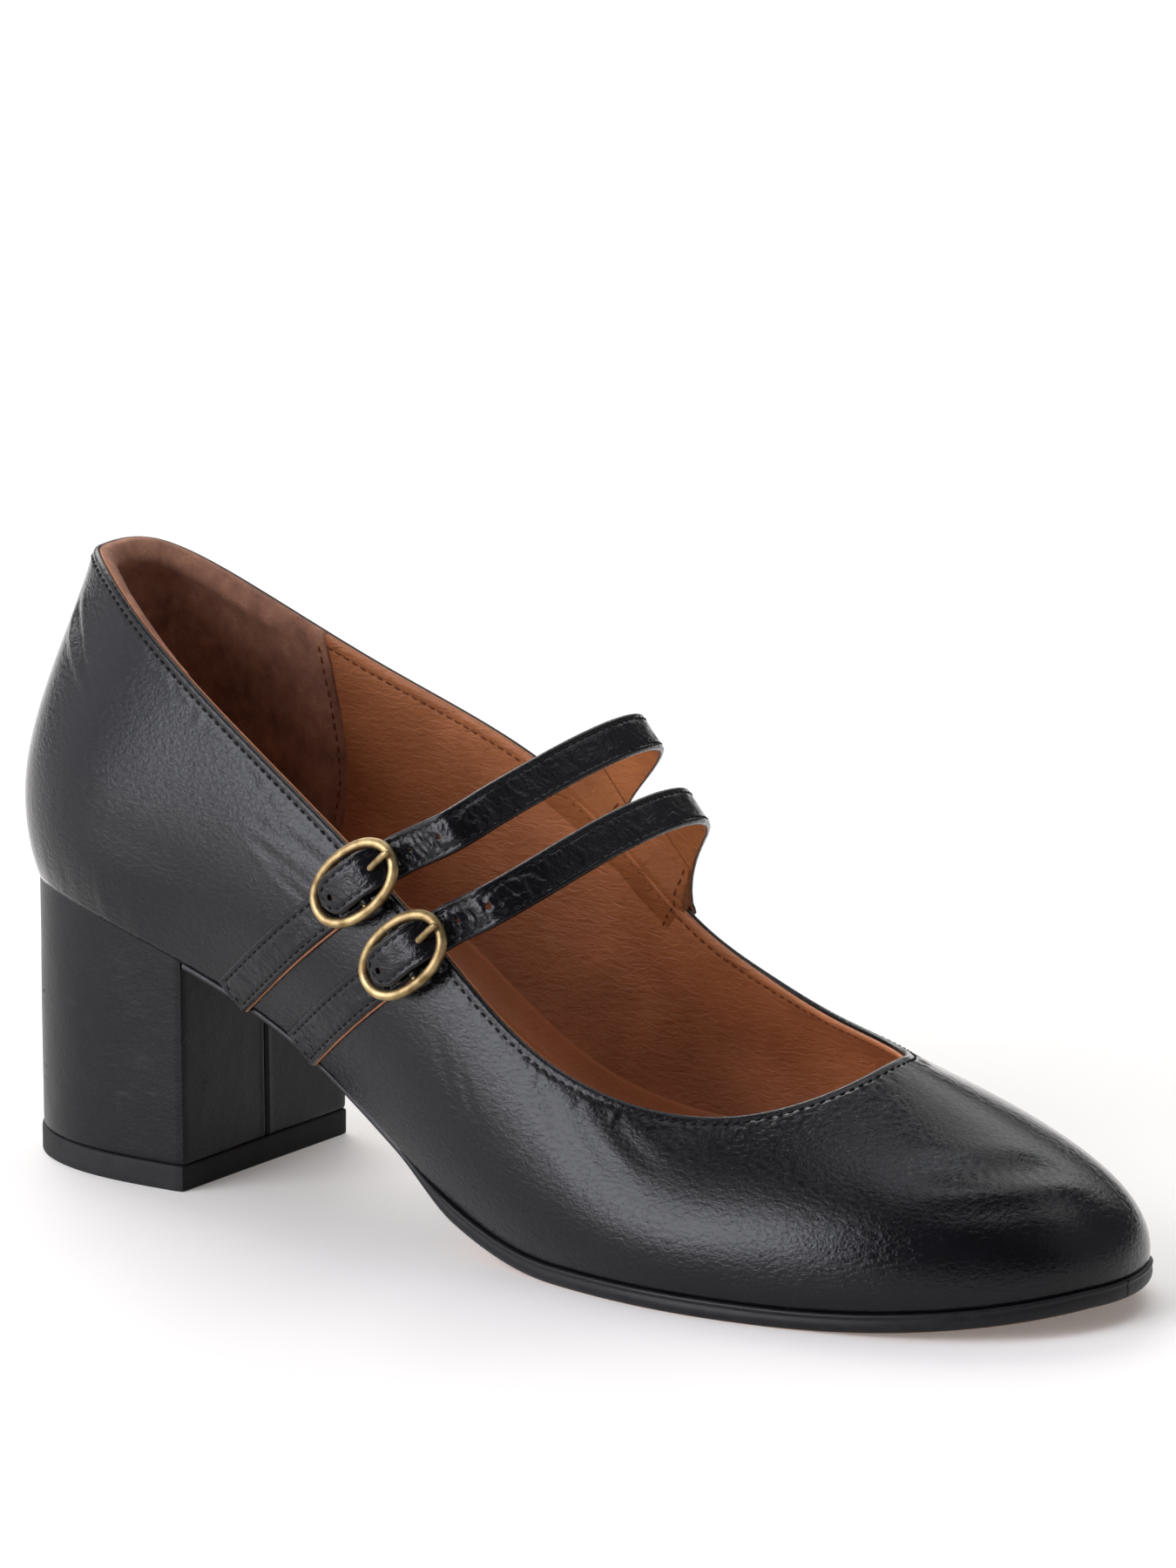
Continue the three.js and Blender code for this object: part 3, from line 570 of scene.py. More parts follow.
# ---------------------------------------------------------------- materials
class Nodes:
    """A short way to write a node tree."""

    def __init__(self, tree):
        self.tree = tree

    def put(self, node, values):
        """Sets a node's sockets to numbers or links them to other nodes' outputs."""
        for socket, value in values.items():
            if isinstance(value, bpy.types.NodeSocket):
                self.tree.links.new(value, node.inputs[socket])
            else:
                node.inputs[socket].default_value = value

    def add(self, kind, values, **settings):
        """Makes a node and gives its outputs."""
        node = self.tree.nodes.new(kind)
        for key, value in settings.items():
            setattr(node, key, value)
        self.put(node, values)
        return node.outputs

    def math(self, operation, a, b=0.0):
        return self.add("ShaderNodeMath", {0: a, 1: b}, operation=operation)[0]


class Surface(Nodes):
    """A material. Its textures are sized in millimetres of the object."""

    def __init__(self, name):
        self.material = bpy.data.materials.new(name)
        self.material.use_nodes = True
        super().__init__(self.material.node_tree)
        self.place = self.add("ShaderNodeTexCoord", {})["Object"]

    def finished(self, **values):
        """Sets the shader's sockets and gives the material."""
        named = {key.replace("_", " "): value for key, value in values.items()}
        self.put(self.tree.nodes["Principled BSDF"], named)
        return self.material

    def stretched(self, x=1.0, y=1.0, z=1.0, turn=(0, 0, 0)):
        turn = [math.radians(a) for a in turn]
        values = {"Vector": self.place, "Scale": (x, y, z), "Rotation": turn}
        return self.add("ShaderNodeMapping", values)["Vector"]

    def noise(self, size_mm, detail=2.0, place=None, rough=0.5, twist=0.0):
        values = {"Vector": place or self.place, "Scale": 1 / (MM * size_mm)}
        values.update({"Detail": detail, "Roughness": rough, "Distortion": twist})
        return self.add("ShaderNodeTexNoise", values)["Fac"]

    def cells(self, size_mm, feature="F1"):
        values = {"Vector": self.place, "Scale": 1 / (MM * size_mm)}
        return self.add("ShaderNodeTexVoronoi", values, feature=feature)["Distance"]

    def ramp(self, value, low=0.3, high=0.7, to_low=0.0, to_high=1.0):
        values = {"Value": value, "From Min": low, "From Max": high}
        values.update({"To Min": to_low, "To Max": to_high})
        return self.add("ShaderNodeMapRange", values, clamp=True)["Result"]

    def blend(self, share, a, b):
        return self.add("ShaderNodeMix", {0: share, 6: a, 7: b}, data_type="RGBA")[2]

    def bump(self, height, millimetres, before=None):
        values = {"Height": height, "Distance": millimetres * MM}
        if before is not None:
            values["Normal"] = before
        return self.add("ShaderNodeBump", values)["Normal"]


def grey(level, tint=(1.0, 1.0, 1.0)):
    return (*(level * t for t in tint), 1.0)


def patent(name, grain, crinkle, gloss):
    """Black patent leather: a clear lacquer over finely wrinkled leather."""
    n = Surface(name)
    fine = n.noise(0.7, 4, n.stretched(0.5, 0.5, 1.0, (0, 12, 0)), 0.65, 0.5)
    folds = n.noise(2.6, 3, rough=0.55, twist=0.7)
    normal = n.bump(n.noise(7, 1), 0.10 * crinkle)
    normal = n.bump(n.math("ABSOLUTE", n.ramp(folds, to_low=-1.0)), 0.035 * crinkle, normal)
    normal = n.bump(fine, 0.12 * grain, normal)
    normal = n.bump(n.cells(0.6, "SMOOTH_F1"), 0.035 * grain, normal)
    tone = n.ramp(n.noise(6, 3))
    return n.finished(
        Base_Color=n.blend(tone, grey(0.0022, (1, 1, 1.5)), grey(0.0036, (1, 1, 1.4))),
        Roughness=n.ramp(tone, 0, 1, 0.5, 0.6),
        Specular_IOR_Level=0.04,
        IOR=1.42,
        Coat_Weight=1.0,
        Coat_Roughness=gloss,
        Coat_IOR=1.3,
        Normal=normal,
        Coat_Normal=normal,
    )


def lining_leather(name, colour, dark, wrinkle=1.0, shine=0.5):
    """Tan lining: smooth glazed leather with fine wrinkles, darkened in their troughs as painted
    shade.
    """
    n = Surface(name)
    lines = n.noise(1.3, 3, n.stretched(0.45, 1.0, 1.3, (0, -32, 0)), 0.6, 0.7)
    cloud = n.ramp(n.noise(11, 4), 0.3, 0.72)
    # The deepest troughs of the wrinkles are painted darker: painted shade in the creases, over the
    # cloudy tan.
    tone = n.blend(n.ramp(lines, 0.35, 0.5, 0.35, 0.0), n.blend(cloud, dark, colour), dark)
    return n.finished(
        Base_Color=tone,
        Roughness=n.ramp(cloud, 0, 1, 0.46, 0.6),
        Specular_IOR_Level=shine,
        IOR=1.42,
        Normal=n.bump(n.cells(0.5), 0.03, n.bump(lines, 0.45 * wrinkle)),
    )


def suede(name):
    """Brown suede: a brushed nap in soft clouds."""
    n = Surface(name)
    nap = n.noise(0.45, 4, rough=0.7)
    brushed = n.noise(2.2, 3, n.stretched(1.0, 1.0, 0.45, (0, 25, 0)), 0.6)
    cloud = n.ramp(n.math("ADD", n.noise(7, 3), n.math("MULTIPLY", brushed, 0.7)), 0.6, 1.1)
    tone = n.blend(cloud, (0.12, 0.05, 0.032, 1), (0.39, 0.195, 0.118, 1))
    return n.finished(
        Base_Color=n.blend(n.ramp(nap, 0.38, 0.62, 0.0, 0.75), tone, (0.25, 0.11, 0.072, 1)),
        Roughness=n.ramp(nap, to_low=0.85, to_high=0.98),
        IOR=1.35,
        Sheen_Weight=0.22,
        Sheen_Roughness=0.5,
        Sheen_Tint=(0.75, 0.45, 0.32, 1),
        Normal=n.bump(nap, 0.2, n.bump(brushed, 0.2)),
    )


def cover_leather(name):
    """The heel's satin cover, with faint scuffs."""
    n = Surface(name)
    grain = n.noise(0.55, 3, n.stretched(0.6, 0.6, 1.0, (0, 20, 0)), 0.6)
    scuff = n.noise(1.6, 4, n.stretched(0.3, 0.3, 1.8, (0, 14, 0)), 0.7, 0.2)
    patches = n.ramp(n.noise(10, 3), 0.5, 0.62)
    marks = n.math("MULTIPLY", n.ramp(scuff, 0.56, 0.66), patches)
    tone = n.blend(n.ramp(grain), grey(0.003, (1, 1, 1.3)), grey(0.006, (1, 1, 1.2)))
    return n.finished(
        Base_Color=n.blend(n.math("MULTIPLY", marks, 0.35), tone, grey(0.04)),
        Roughness=n.ramp(marks, 0, 1, 0.36, 0.6),
        Specular_IOR_Level=0.24,
        IOR=1.42,
        Normal=n.bump(n.noise(10, 2), 0.2, n.bump(scuff, 0.03, n.bump(grain, 0.06))),
    )


def rubber(name):
    """The heel tip's black rubber."""
    n = Surface(name)
    pits = n.noise(0.35, 3)
    return n.finished(
        Base_Color=n.blend(n.ramp(n.noise(5, 3)), grey(0.008), grey(0.013)),
        Roughness=n.ramp(pits, to_low=0.6, to_high=0.75),
        Specular_IOR_Level=0.3,
        IOR=1.4,
        Normal=n.bump(pits, 0.03),
    )


def thread(name, colour, light):
    """Twisted thread, in two shades."""
    n = Surface(name)
    twist = n.noise(0.3, 2, n.stretched(z=0.4))
    return n.finished(
        Base_Color=n.blend(n.ramp(twist), colour, light),
        Roughness=n.ramp(twist, to_low=0.65, to_high=0.8),
        Specular_IOR_Level=0.15,
        IOR=1.4,
        Normal=n.bump(twist, 0.06),
    )


def brass(name):
    """Antique brass: brushed highs and darker lows."""
    n = Surface(name)
    wear = n.ramp(n.noise(2.6, 4), 0.32, 0.7)
    fine = n.noise(0.35, 3, rough=0.6)
    return n.finished(
        Base_Color=n.blend(wear, (0.15, 0.1, 0.043, 1), (0.42, 0.31, 0.155, 1)),
        Metallic=1.0,
        Roughness=n.ramp(fine, to_low=0.4, to_high=0.54),
        Normal=n.bump(fine, 0.02, n.bump(wear, 0.03)),
    )


def sole_leather(name):
    """The sole: stained dark round the edge, and tan underneath."""
    n = Surface(name)
    faces = n.add("ShaderNodeNewGeometry", {})["True Normal"]
    upwards = n.add("ShaderNodeSeparateXYZ", {0: faces})["Z"]
    fibre = n.noise(1.1, 4, n.stretched(0.4, 1.0, 1.0), 0.6)
    share = n.ramp(fibre)
    tan = n.blend(share, (0.24, 0.115, 0.048, 1), (0.36, 0.19, 0.085, 1))
    dark = n.blend(share, grey(0.004, (1, 1, 1.2)), grey(0.009, (1, 1, 1.15)))
    return n.finished(
        Base_Color=n.blend(n.ramp(upwards, -0.93, -0.8, 1.0, 0.0), dark, tan),
        Roughness=n.ramp(fibre, to_low=0.34, to_high=0.5),
        Specular_IOR_Level=0.3,
        IOR=1.42,
        Normal=n.bump(fibre, 0.05),
    )


def paper(name):
    """The pale floor, lit a little from below like a studio's light table."""
    n = Surface(name)
    pale = (1.03, 1.0, 0.965)
    return n.finished(
        Base_Color=n.blend(n.ramp(n.noise(90, 2)), grey(0.7, pale), grey(0.72, pale)),
        Roughness=n.ramp(n.noise(40, 2), to_low=0.55, to_high=0.65),
        IOR=1.35,
        Emission_Color=(1.0, 0.985, 0.975, 1),
        Emission_Strength=0.155,
    )


LOOK = {
    "upper": patent("patent_leather", 1.0, 0.24, 0.06),
    "strap": patent("crinkled_patent", 0.6, 1.9, 0.05),
    "lining": lining_leather("tan_lining", (0.41, 0.152, 0.058, 1), (0.29, 0.1, 0.036, 1)),
    "insole": lining_leather("tan_insole", (0.49, 0.175, 0.064, 1), (0.41, 0.14, 0.05, 1), 0.3),
    "suede": suede("brown_suede"),
    "cover": cover_leather("heel_cover"),
    "rubber": rubber("tip_rubber"),
    "thread": thread("black_thread", grey(0.006), grey(0.014)),
    "tan_thread": thread("brown_thread", (0.07, 0.022, 0.009, 1), (0.16, 0.055, 0.02, 1)),
    "brass": brass("antique_brass"),
    "sole": sole_leather("sole_leather"),
    # The straps' tan underside and root lining: the tan lining darkened by about a quarter, painted
    # shade for the shadow under the straps.
    "strap_lining_painted_shade": lining_leather(
        "strap_lining_painted_shade", (0.3, 0.108, 0.038, 1), (0.2, 0.068, 0.024, 1), 0.8, 0.1
    ),
    "raw_edge": lining_leather("raw_edge", (0.44, 0.18, 0.085, 1), (0.28, 0.105, 0.048, 1)),
}


# ---------------------------------------------------------------- upper
def crease_relief(points):
    """How far the listed creases move the leather, in mm along its normal."""
    relief = np.zeros(points.shape[:-1])
    for u1, v1, u2, v2, depth, half in CREASES:
        t = np.linspace(0, 1, 14)
        line = wall(mix(u1, u2, t), mix(v1, v2, t))
        low, high = line.min(axis=0) - 4 * half, line.max(axis=0) + 4 * half
        near = np.all((points > low) & (points < high), axis=-1)
        if not near.any():
            continue
        apart = np.linalg.norm(points[near][:, None, :] - line, axis=-1)
        fade = np.sin(np.pi * (t[apart.argmin(axis=1)] * 0.96 + 0.02)) ** 0.7
        d = apart.min(axis=1)
        shape = bump_at(d, 0, half) - 0.35 * bump_at(d, 2.1 * half, half)
        relief[near] -= depth * fade * shape
    return relief


def lasting_pleats(u, v):
    """Fine upright ripples where the leather is drawn over the heel seat."""
    fade = smooth((78 - np.minimum(u, AROUND - u)) / 40) * bump_at(v, 0.07, 0.09)
    return 0.10 * fade * noise_over(u / 2.3, v * 2.0, 4)


def leather_relief(points, u, v, drop):
    """The outer leather's relief, in mm along its normal."""
    calm = smooth(v / 0.08) * smooth((drop - 0.9) / 3.0)
    relief = 0.06 * noise(points / 14.0, 1) + 0.008 * noise(points / 5.0, 2)
    relief += 0.003 * noise(points / 2.0, 3)
    relief += crease_relief(points)
    relief = relief * calm + lasting_pleats(u, v) * smooth(v / 0.02)
    phase = 0.5 + 0.5 * np.cos(2 * np.pi * u / STITCH_PITCH)
    pucker = 0.10 * noise_over(u / 1.6, drop / 2.2, 6)
    relief += pucker * bump_at(drop, 3.2, 1.5) * smooth((drop - 1.9) / 0.6)
    relief -= (0.09 + 0.03 * phase) * bump_at(drop, STITCH_DROP, 0.5)
    relief += 0.06 * bump_at(drop, 0.85, 0.42)
    return relief


def make_upper_leather():
    """One sheet: from the folded topline down the outer face, in under, and up inside."""
    u = all_round(1040)
    near_top = [0.55, 0.75, 0.95, 1.15, 1.35, 1.55, 1.75, 1.95, 2.2, 2.5, 2.9, 3.4, 4.0, 4.7]
    uu, v = wall_grid(u, near_top, 52, 0)
    points = wall(uu, v)
    relief = leather_relief(points, uu, v, drop_from_top(uu, v))
    outer = points + wall_normal(uu, v) * relief[..., None]

    # The folded edge: a round bead over the top of the leather.
    out, up = wall_normal(u, np.ones_like(u)), wall_up(u, np.ones_like(u))
    middle = wall(u, v[:, 0]) - out * BEAD
    rings = []
    for angle in np.radians([158, 135, 112, 90, 68, 45, 22]):
        rings.append(middle + (out * np.cos(angle) + up * np.sin(angle)) * BEAD)
    rings.extend(np.moveaxis(outer, 1, 0))
    # Underneath it turns in, and doubles back over its own margin.
    foot, _, _, _, away = rib(u)
    for inset, height in (
        (1.2, 0.0), (4.0, 0.0), (MARGIN, 0.0), (MARGIN, MARGIN_THICK),
        (WALL + 0.2, MARGIN_THICK),
    ):
        spot = foot - away * inset
        spot[:, 2] = feather_z(spot[:, 0]) + height
        rings.append(spot)
    for level in np.linspace(0, 1, 7)[1:]:
        inside = v[:, 0] * level
        rings.append(wall(u, inside) - wall_normal(u, inside) * LEATHER)
    return sweep(np.stack(rings, axis=1), closed=True)


def row_under_top(drop, depth):
    """A line round the shoe, `drop` under the topline and `depth` into the wall: its u, its
    points and the wall's normals."""
    u = np.linspace(0, AROUND, 1800)
    v = under_top(u, [drop])[:, 0]
    normal = wall_normal(u, v)
    return u, wall(u, v) - normal * depth, normal


def make_topline_stitches():
    """The row in the groove under the folded edge."""
    _, line, normal = row_under_top(STITCH_DROP, 0.17)
    return stitches(line, normal)


# ---------------------------------------------------------------- lining and heel grip
# The front edges of the suede heel grip: distance round the feather edge on the inner side
# at these shares of the wall's height. The outer side mirrors it.
GRIP_EDGE = {
    0.05: 475.5, 0.28: 474.2, 0.46: 473.2, 0.63: 473.5, 0.79: 474.8, 0.92: 476.6, 1.0: 478.2,
}
LINING_TOP = -0.1  # the lining's edge stands this far above the topline, as a minus
LINING_STITCH_DROP = 2.1


def shell(u, v, outside, inside, closed):
    """A thin closed layer inside the wall. `outside` and `inside` are depths from the
    wall's outer face, one for each point of the grid u by v; row 0 is its top edge."""
    points, normal = wall(u, v), wall_normal(u, v)
    face, back = (points - normal * depth[..., None] for depth in (inside, outside))
    return sheet(face, back, closed)


def make_lining():
    """The tan lining, from its rounded top edge down to the insole."""
    near_top = [LINING_TOP, 0.05, 0.25, 0.5, 0.8, 1.1, 1.5, 1.9, 2.3, 2.8, 3.5, 4.5]
    u, v = wall_grid(all_round(620), near_top, 43, 0.03)
    points, drop = wall(u, v), drop_from_top(u, v)
    inside = WALL + 0.10 * noise(points / 12.0, 11) + 0.05 * noise(points / 4.2, 12)
    inside += 0.12 * bump_at(drop, 1.0, 0.7) - 0.14 * bump_at(drop, LINING_STITCH_DROP, 0.4)
    inside -= 0.45 * np.exp(-(drop - LINING_TOP) / 0.28)
    return shell(u, v, np.full_like(v, LEATHER - 0.02), inside, True)


def grip_edge(v, side):
    """u of the suede's front edge at v, on the outer (-1) or the inner side (1)."""
    inner = np.interp(v, list(GRIP_EDGE), list(GRIP_EDGE.values()))
    return inner - AROUND if side > 0 else AROUND - inner


def make_heel_grip():
    """The suede round the heel, with a padded roll under its top edge."""
    u = np.linspace(grip_edge(0.5, 1), grip_edge(0.5, -1), 260)
    near_top = [-0.25, -0.15, 0.0, 0.2, 0.5, 0.8, 1.2, 1.6, 2.0, 2.5, 3.0, 3.6, 4.4, 5.4]
    _, v = wall_grid(u, near_top, 45, 0.05)
    low, high = grip_edge(v, 1), grip_edge(v, -1)
    u = mix(low, high, np.linspace(0, 1, len(u))[:, None])
    points, drop = wall(u, v), drop_from_top(u, v)
    edge = np.minimum(u - low, high - u)
    at_edge = smooth(edge / 1.2)
    roll = (2.3 * bump_at(drop, 2.4, 2.5) + 0.5 * bump_at(drop, 13, 5.0)) * smooth(edge / 14)
    pad = 0.5 * smooth(edge / 8) * smooth((drop - 2) / 6)
    nap = 0.10 * noise(points / 3.4, 21) + 0.16 * noise(points / 11.0, 22)
    inside = WALL + 0.12 + 0.5 * at_edge + roll + pad + nap * at_edge
    inside -= 0.9 * np.exp(-(drop + 0.25) / 0.4)
    inside = np.maximum(inside, LEATHER + 0.5)
    return shell(u, v, np.full_like(v, LEATHER + 0.1), inside, False)


def make_lining_stitches():
    """A row under the topline from one end of the grip to the other, and one down each."""
    u, line, normal = row_under_top(LINING_STITCH_DROP, WALL - 0.08)
    keep = (u > grip_edge(1.0, -1)) & (u < AROUND + grip_edge(1.0, 1))
    rows = [stitches(line[keep], -normal[keep], radius=FINE_THREAD, sunk=0.12)]
    for side in (-1, 1):
        v = np.linspace(0.97, 0.2, 240)
        u = grip_edge(v, side) + side * 1.3
        normal = wall_normal(u, v)
        seam = wall(u, v) - normal * (WALL + 0.62)
        rows.append(stitches(seam, -normal, pitch=2.2, radius=0.2, sunk=0.12))
    return joined(rows)


# ---------------------------------------------------------------- sole, insole, heel
def across_stations(from_x, to_x, count):
    """Pairs of places on the feather edge, outer and inner, that lie across from each
    other between two values of x, closer together near the heel's back and the toe."""
    u = np.linspace(-20, AROUND - 20, 12000)
    x_at = column["footX"](u)
    back, toe = x_at.argmin(), x_at.argmax()
    low, high = max(from_x, x_at[back] + 0.0004), min(to_x, x_at[toe] - 0.0004)
    t = np.linspace(0, 1, count)
    if from_x <= x_at[back] and to_x >= x_at[toe]:
        t = (1 - np.cos(np.pi * t)) / 2
    elif from_x <= x_at[back]:
        t = t**2
    elif to_x >= x_at[toe]:
        t = 1 - (1 - t) ** 2
    x = mix(low, high, t)
    outer = np.interp(x, x_at[back : toe + 1], u[back : toe + 1])
    home = np.arange(toe, back + len(u) + 1) % len(u)
    around = np.where(np.arange(toe, back + len(u) + 1) >= len(u), AROUND, 0)
    inner = np.interp(x, x_at[home][::-1], (u[home] + around)[::-1])
    return outer, inner


def slab(from_x, stations, edge, top, bottom, across, base_inset=np.zeros_like):
    """A flat-lying piece from this x to the toe. Its faces' heights and the inset of its
    side are functions of x. `edge` shapes the side from the top face to the bottom one:
    rows of (further inset, share of the way down)."""
    def side(u):
        foot, _, _, _, out = rib(u)
        rows = []
        for inset, down in edge:
            spot = foot - out * (base_inset(foot[:, 0]) + inset)[:, None]
            spot[:, 2] = mix(top(spot[:, 0]), bottom(spot[:, 0]), down)
            rows.append(spot)
        return rows

    outer, inner = across_stations(from_x, math.inf, stations)
    left, right = side(outer), side(inner)
    fill = np.linspace(0, 1, across + 2)[1:-1]
    under = [mix(left[-1], right[-1], t) for t in fill]
    over = [mix(right[0], left[0], t) for t in fill]
    for rows, height in ((under, bottom), (over, top)):
        for row in rows:
            row[:, 2] = height(row[:, 0])
    return sweep(np.stack(left + under + right[::-1] + over, axis=1))


def make_sole():
    """The sole, from the heel's breast to the toe."""
    def top(x):
        return feather_z(x) - 0.05

    def bottom(x):
        return feather_z(x) - mix(SOLE_THIN, SOLE_THICK, forefoot(x))

    def base_inset(x):
        return mix(0.5, -SOLE_EDGE, forefoot(x))

    # A fine bead runs round the top of the edge, over a shallow groove.
    edge = [
        (1.6, 0.0), (0.45, 0.0), (0.12, 0.03), (-0.08, 0.09), (-0.02, 0.19), (0.16, 0.25),
        (0.14, 0.32), (0.02, 0.45), (0.0, 0.62), (0.12, 0.8), (0.4, 0.94), (0.9, 1.0),
        (1.5, 1.0),
    ]
    return slab(HEEL_BREAST + GAP, 300, edge, top, bottom, 14, base_inset)


def make_insole():
    """The sock: the covered insole that the foot stands on."""
    def bottom(x):
        return feather_z(x) + MARGIN_THICK + 0.1

    def top(x):
        return bottom(x) + INSOLE_THICK + 0.2

    edge = [(3.2, 0.0), (2.5, 0.02), (2.05, 0.12), (1.9, 0.35), (1.9, 0.7), (2.3, 1.0)]
    points, faces = slab(-math.inf, 260, edge, top, bottom, 30)
    # The sock dishes a little along its middle.
    middle = 1 - np.clip(np.abs(points[:, 1]) / 34, 0, 1) ** 2
    above = points[:, 2] > bottom(points[:, 0]) + 0.9
    points[:, 2] -= np.where(above, 0.35 * middle + 0.1 * noise(points / 9.0, 31), 0)
    return points, faces


def make_insole_flank():
    """The sock's turned-up rim: low all round, and higher along the inner side."""
    u = all_round(520)
    share = np.linspace(0, 1, 26)
    inner = smooth((u - 338) / 30) * smooth((470 - u) / 30)
    height = mix(4.4, 10.0, inner)[:, None]
    up = height * (1 - share) + 1.2 * share
    _, runs = runs_down(u, 60)
    v = up / runs[:, -1:]
    thick = 0.42 * smooth((height - up) / 0.5) + 1.9 * np.exp(-np.maximum(up - 3.0, 0) / 1.2)
    thick = np.where(up > height - 0.02, 0.0, thick)
    uu = np.broadcast_to(u[:, None], v.shape)
    return shell(uu, v, np.full_like(v, WALL - 0.4), WALL + thick, True)


HEEL_ROUND, HEEL_ACROSS = 200, 90  # points of the outline round the back and on the breast
HEEL_JOINT = 0.12  # the gap over and under the heel's cover
BREAST_SEAM = -1.0  # y of the closing seam of the heel's cover


def heel_outline(inset):
    """The heel's outline at the seat in plan, from the outer breast corner round the back
    to the inner one and home across the breast."""
    outer, inner = across_stations(HEEL_BREAST - 0.01, HEEL_BREAST, 2)
    foot, _, _, _, away = rib(np.linspace(outer[-1], inner[-1] - AROUND, HEEL_ROUND))
    curve = foot - away * inset
    t = np.linspace(-1, 1, HEEL_ACROSS + 2)[1:-1]
    t = 0.5 + 0.5 * np.sign(t) * np.abs(t) ** 1.6
    breast = mix(curve[-1], curve[0], t[:, None])
    ring = np.vstack([curve, breast])[:, :2]
    # Round the two upright corners.
    corner = 0.9
    for end in (curve[0, :2], curve[-1, :2]):
        pull = corner * 0.42 * bump_at(np.linalg.norm(ring - end, axis=1), 0, corner)
        ring = ring + unit(np.array([HEEL_BREAST - 12, 0]) - end) * pull[:, None]
    return ring


def heel_rows(inset, levels):
    """The outline at each height, drawn in towards the floor and cut off by the seat, and
    the way in at each point."""
    ring = heel_outline(inset)
    seat = feather_z(ring[:, 0]) - HEEL_JOINT
    rows = []
    for level in levels:
        z = np.minimum(level, seat)
        narrow = mix(HEEL_TAPER, 1, z / seat)
        rows.append(np.stack([ring[:, 0], ring[:, 1] * narrow, z], -1))
    rows = np.array(rows)
    centre = np.array([HEEL_BREAST * 0.5, 0, 0])
    return rows, unit((centre - rows) * np.array([1, 1, 0]))


def make_heel_cover():
    """The heel block in its leather cover. The upper hides its seat, the tip its foot."""
    low = TOP_PIECE + HEEL_JOINT
    levels = [low, low + 0.12, low + 0.35, low + 0.8]
    levels = np.concatenate([levels, np.linspace(low + 1.6, HEEL_HEIGHT, 56)])
    rows, inward = heel_rows(HEEL_INSET, levels)
    # The cover's lower edge is turned in, and its surface is not quite flat.
    turned = 0.35 * np.exp(-(levels - low) / 0.25)[:, None]
    hand = 0.10 * noise(rows / 15.0, 41) + 0.03 * noise(rows / 4.0, 42)
    rows = rows + inward * (turned - hand)[..., None]
    # The closing seam: a narrow slit that opens a little towards the floor.
    height = rows[..., 2] / HEEL_HEIGHT
    aside = rows[..., 1] - (BREAST_SEAM + mix(0.7, -0.3, height))
    slit, lip = bump_at(aside, 0, mix(0.42, 0.2, height)), bump_at(np.abs(aside), 0.95, 0.6)
    on_breast = np.arange(rows.shape[1]) >= HEEL_ROUND
    rows[..., 0] += on_breast * (0.10 * lip - slit)
    return sweep(rows)


def make_heel_tip():
    """The rubber tip that stands on the floor."""
    levels = [0.0, 0.0, 0.12, 0.4, 1.5, 3.0, TOP_PIECE - 0.45, TOP_PIECE - 0.15, TOP_PIECE]
    pulled = np.array([0.6, 0.25, 0.08, 0, 0, 0, 0, 0.06, 0.3])
    rows, inward = heel_rows(HEEL_INSET - TIP_PROUD, levels)
    return sweep(rows + inward * pulled[:, None, None])


# ---------------------------------------------------------------- straps and tabs
ALONG = np.array(STRAP_SLOPE)
ACROSS = np.array([-STRAP_SLOPE[2], 0, STRAP_SLOPE[0]])
EDGE_STITCH = 1.15  # the stitch rows' distance from the edges of straps and tabs
LINING_FACE = STRAP_LINING - 0.02  # height of the tan layer, just under the black one
TAB_GAP = 0.12  # between the wall and the tabs
TAB_LEAVES_WALL = 3.5  # this far before the bar


def buckle_frame(strap):
    """The buckle's origin and axes: along the strap, across it, and out from the wall."""
    origin, out = spot_on_wall(*strap["buckle"], -1)
    along = unit(ALONG - out * (ALONG @ out))
    return origin, along, -unit(np.cross(along, out)), out


def in_frame(axes, s, w, h):
    origin, along, across, out = axes
    s, w, h = (np.asarray(a, float)[..., None] for a in np.broadcast_arrays(s, w, h))
    return origin + along * s + across * w + out * h


class Ribbon:
    """A strip given by its middle line, its directions across and out, and its half width
    at each station, with how much wider it flares on its toe side (-1) and its heel side
    (1). s is the distance along it and w the distance across it. `settle` may move the
    places that it gives."""

    def __init__(self, middle, across, out, half, flare=None, settle=None):
        self.middle, self.across, self.out = middle, unit(across), unit(out)
        self.run = run_along(middle)
        self.length = self.run[-1]
        self.half = {side: half + (flare[side] if flare else 0 * self.run) for side in (-1, 1)}
        self.settle = settle

    def at(self, s, w, h=0.0):
        """The place w mm off the middle line and h mm over the lower face."""
        s, w, h = np.broadcast_arrays(s, w, h)
        across = unit(read_off(s, self.run, self.across))
        place = read_off(s, self.run, self.middle) + across * w[..., None]
        place = place + self.up_at(s) * h[..., None]
        return self.settle(place, h) if self.settle else place

    def half_at(self, s, side):
        return np.interp(s, self.run, self.half[side])

    def up_at(self, s):
        return unit(read_off(s, self.run, self.out))

    def widths(self, s, k, inset=0.0):
        """The distance across at share k from -1 to 1, and how far that is from its edge."""
        toe, heel = (np.maximum(self.half_at(s, i) - inset, 0.08)[:, None] for i in (-1, 1))
        w = np.where(k < 0, toe, heel) * k
        return w, np.where(k < 0, toe + w, heel - w)


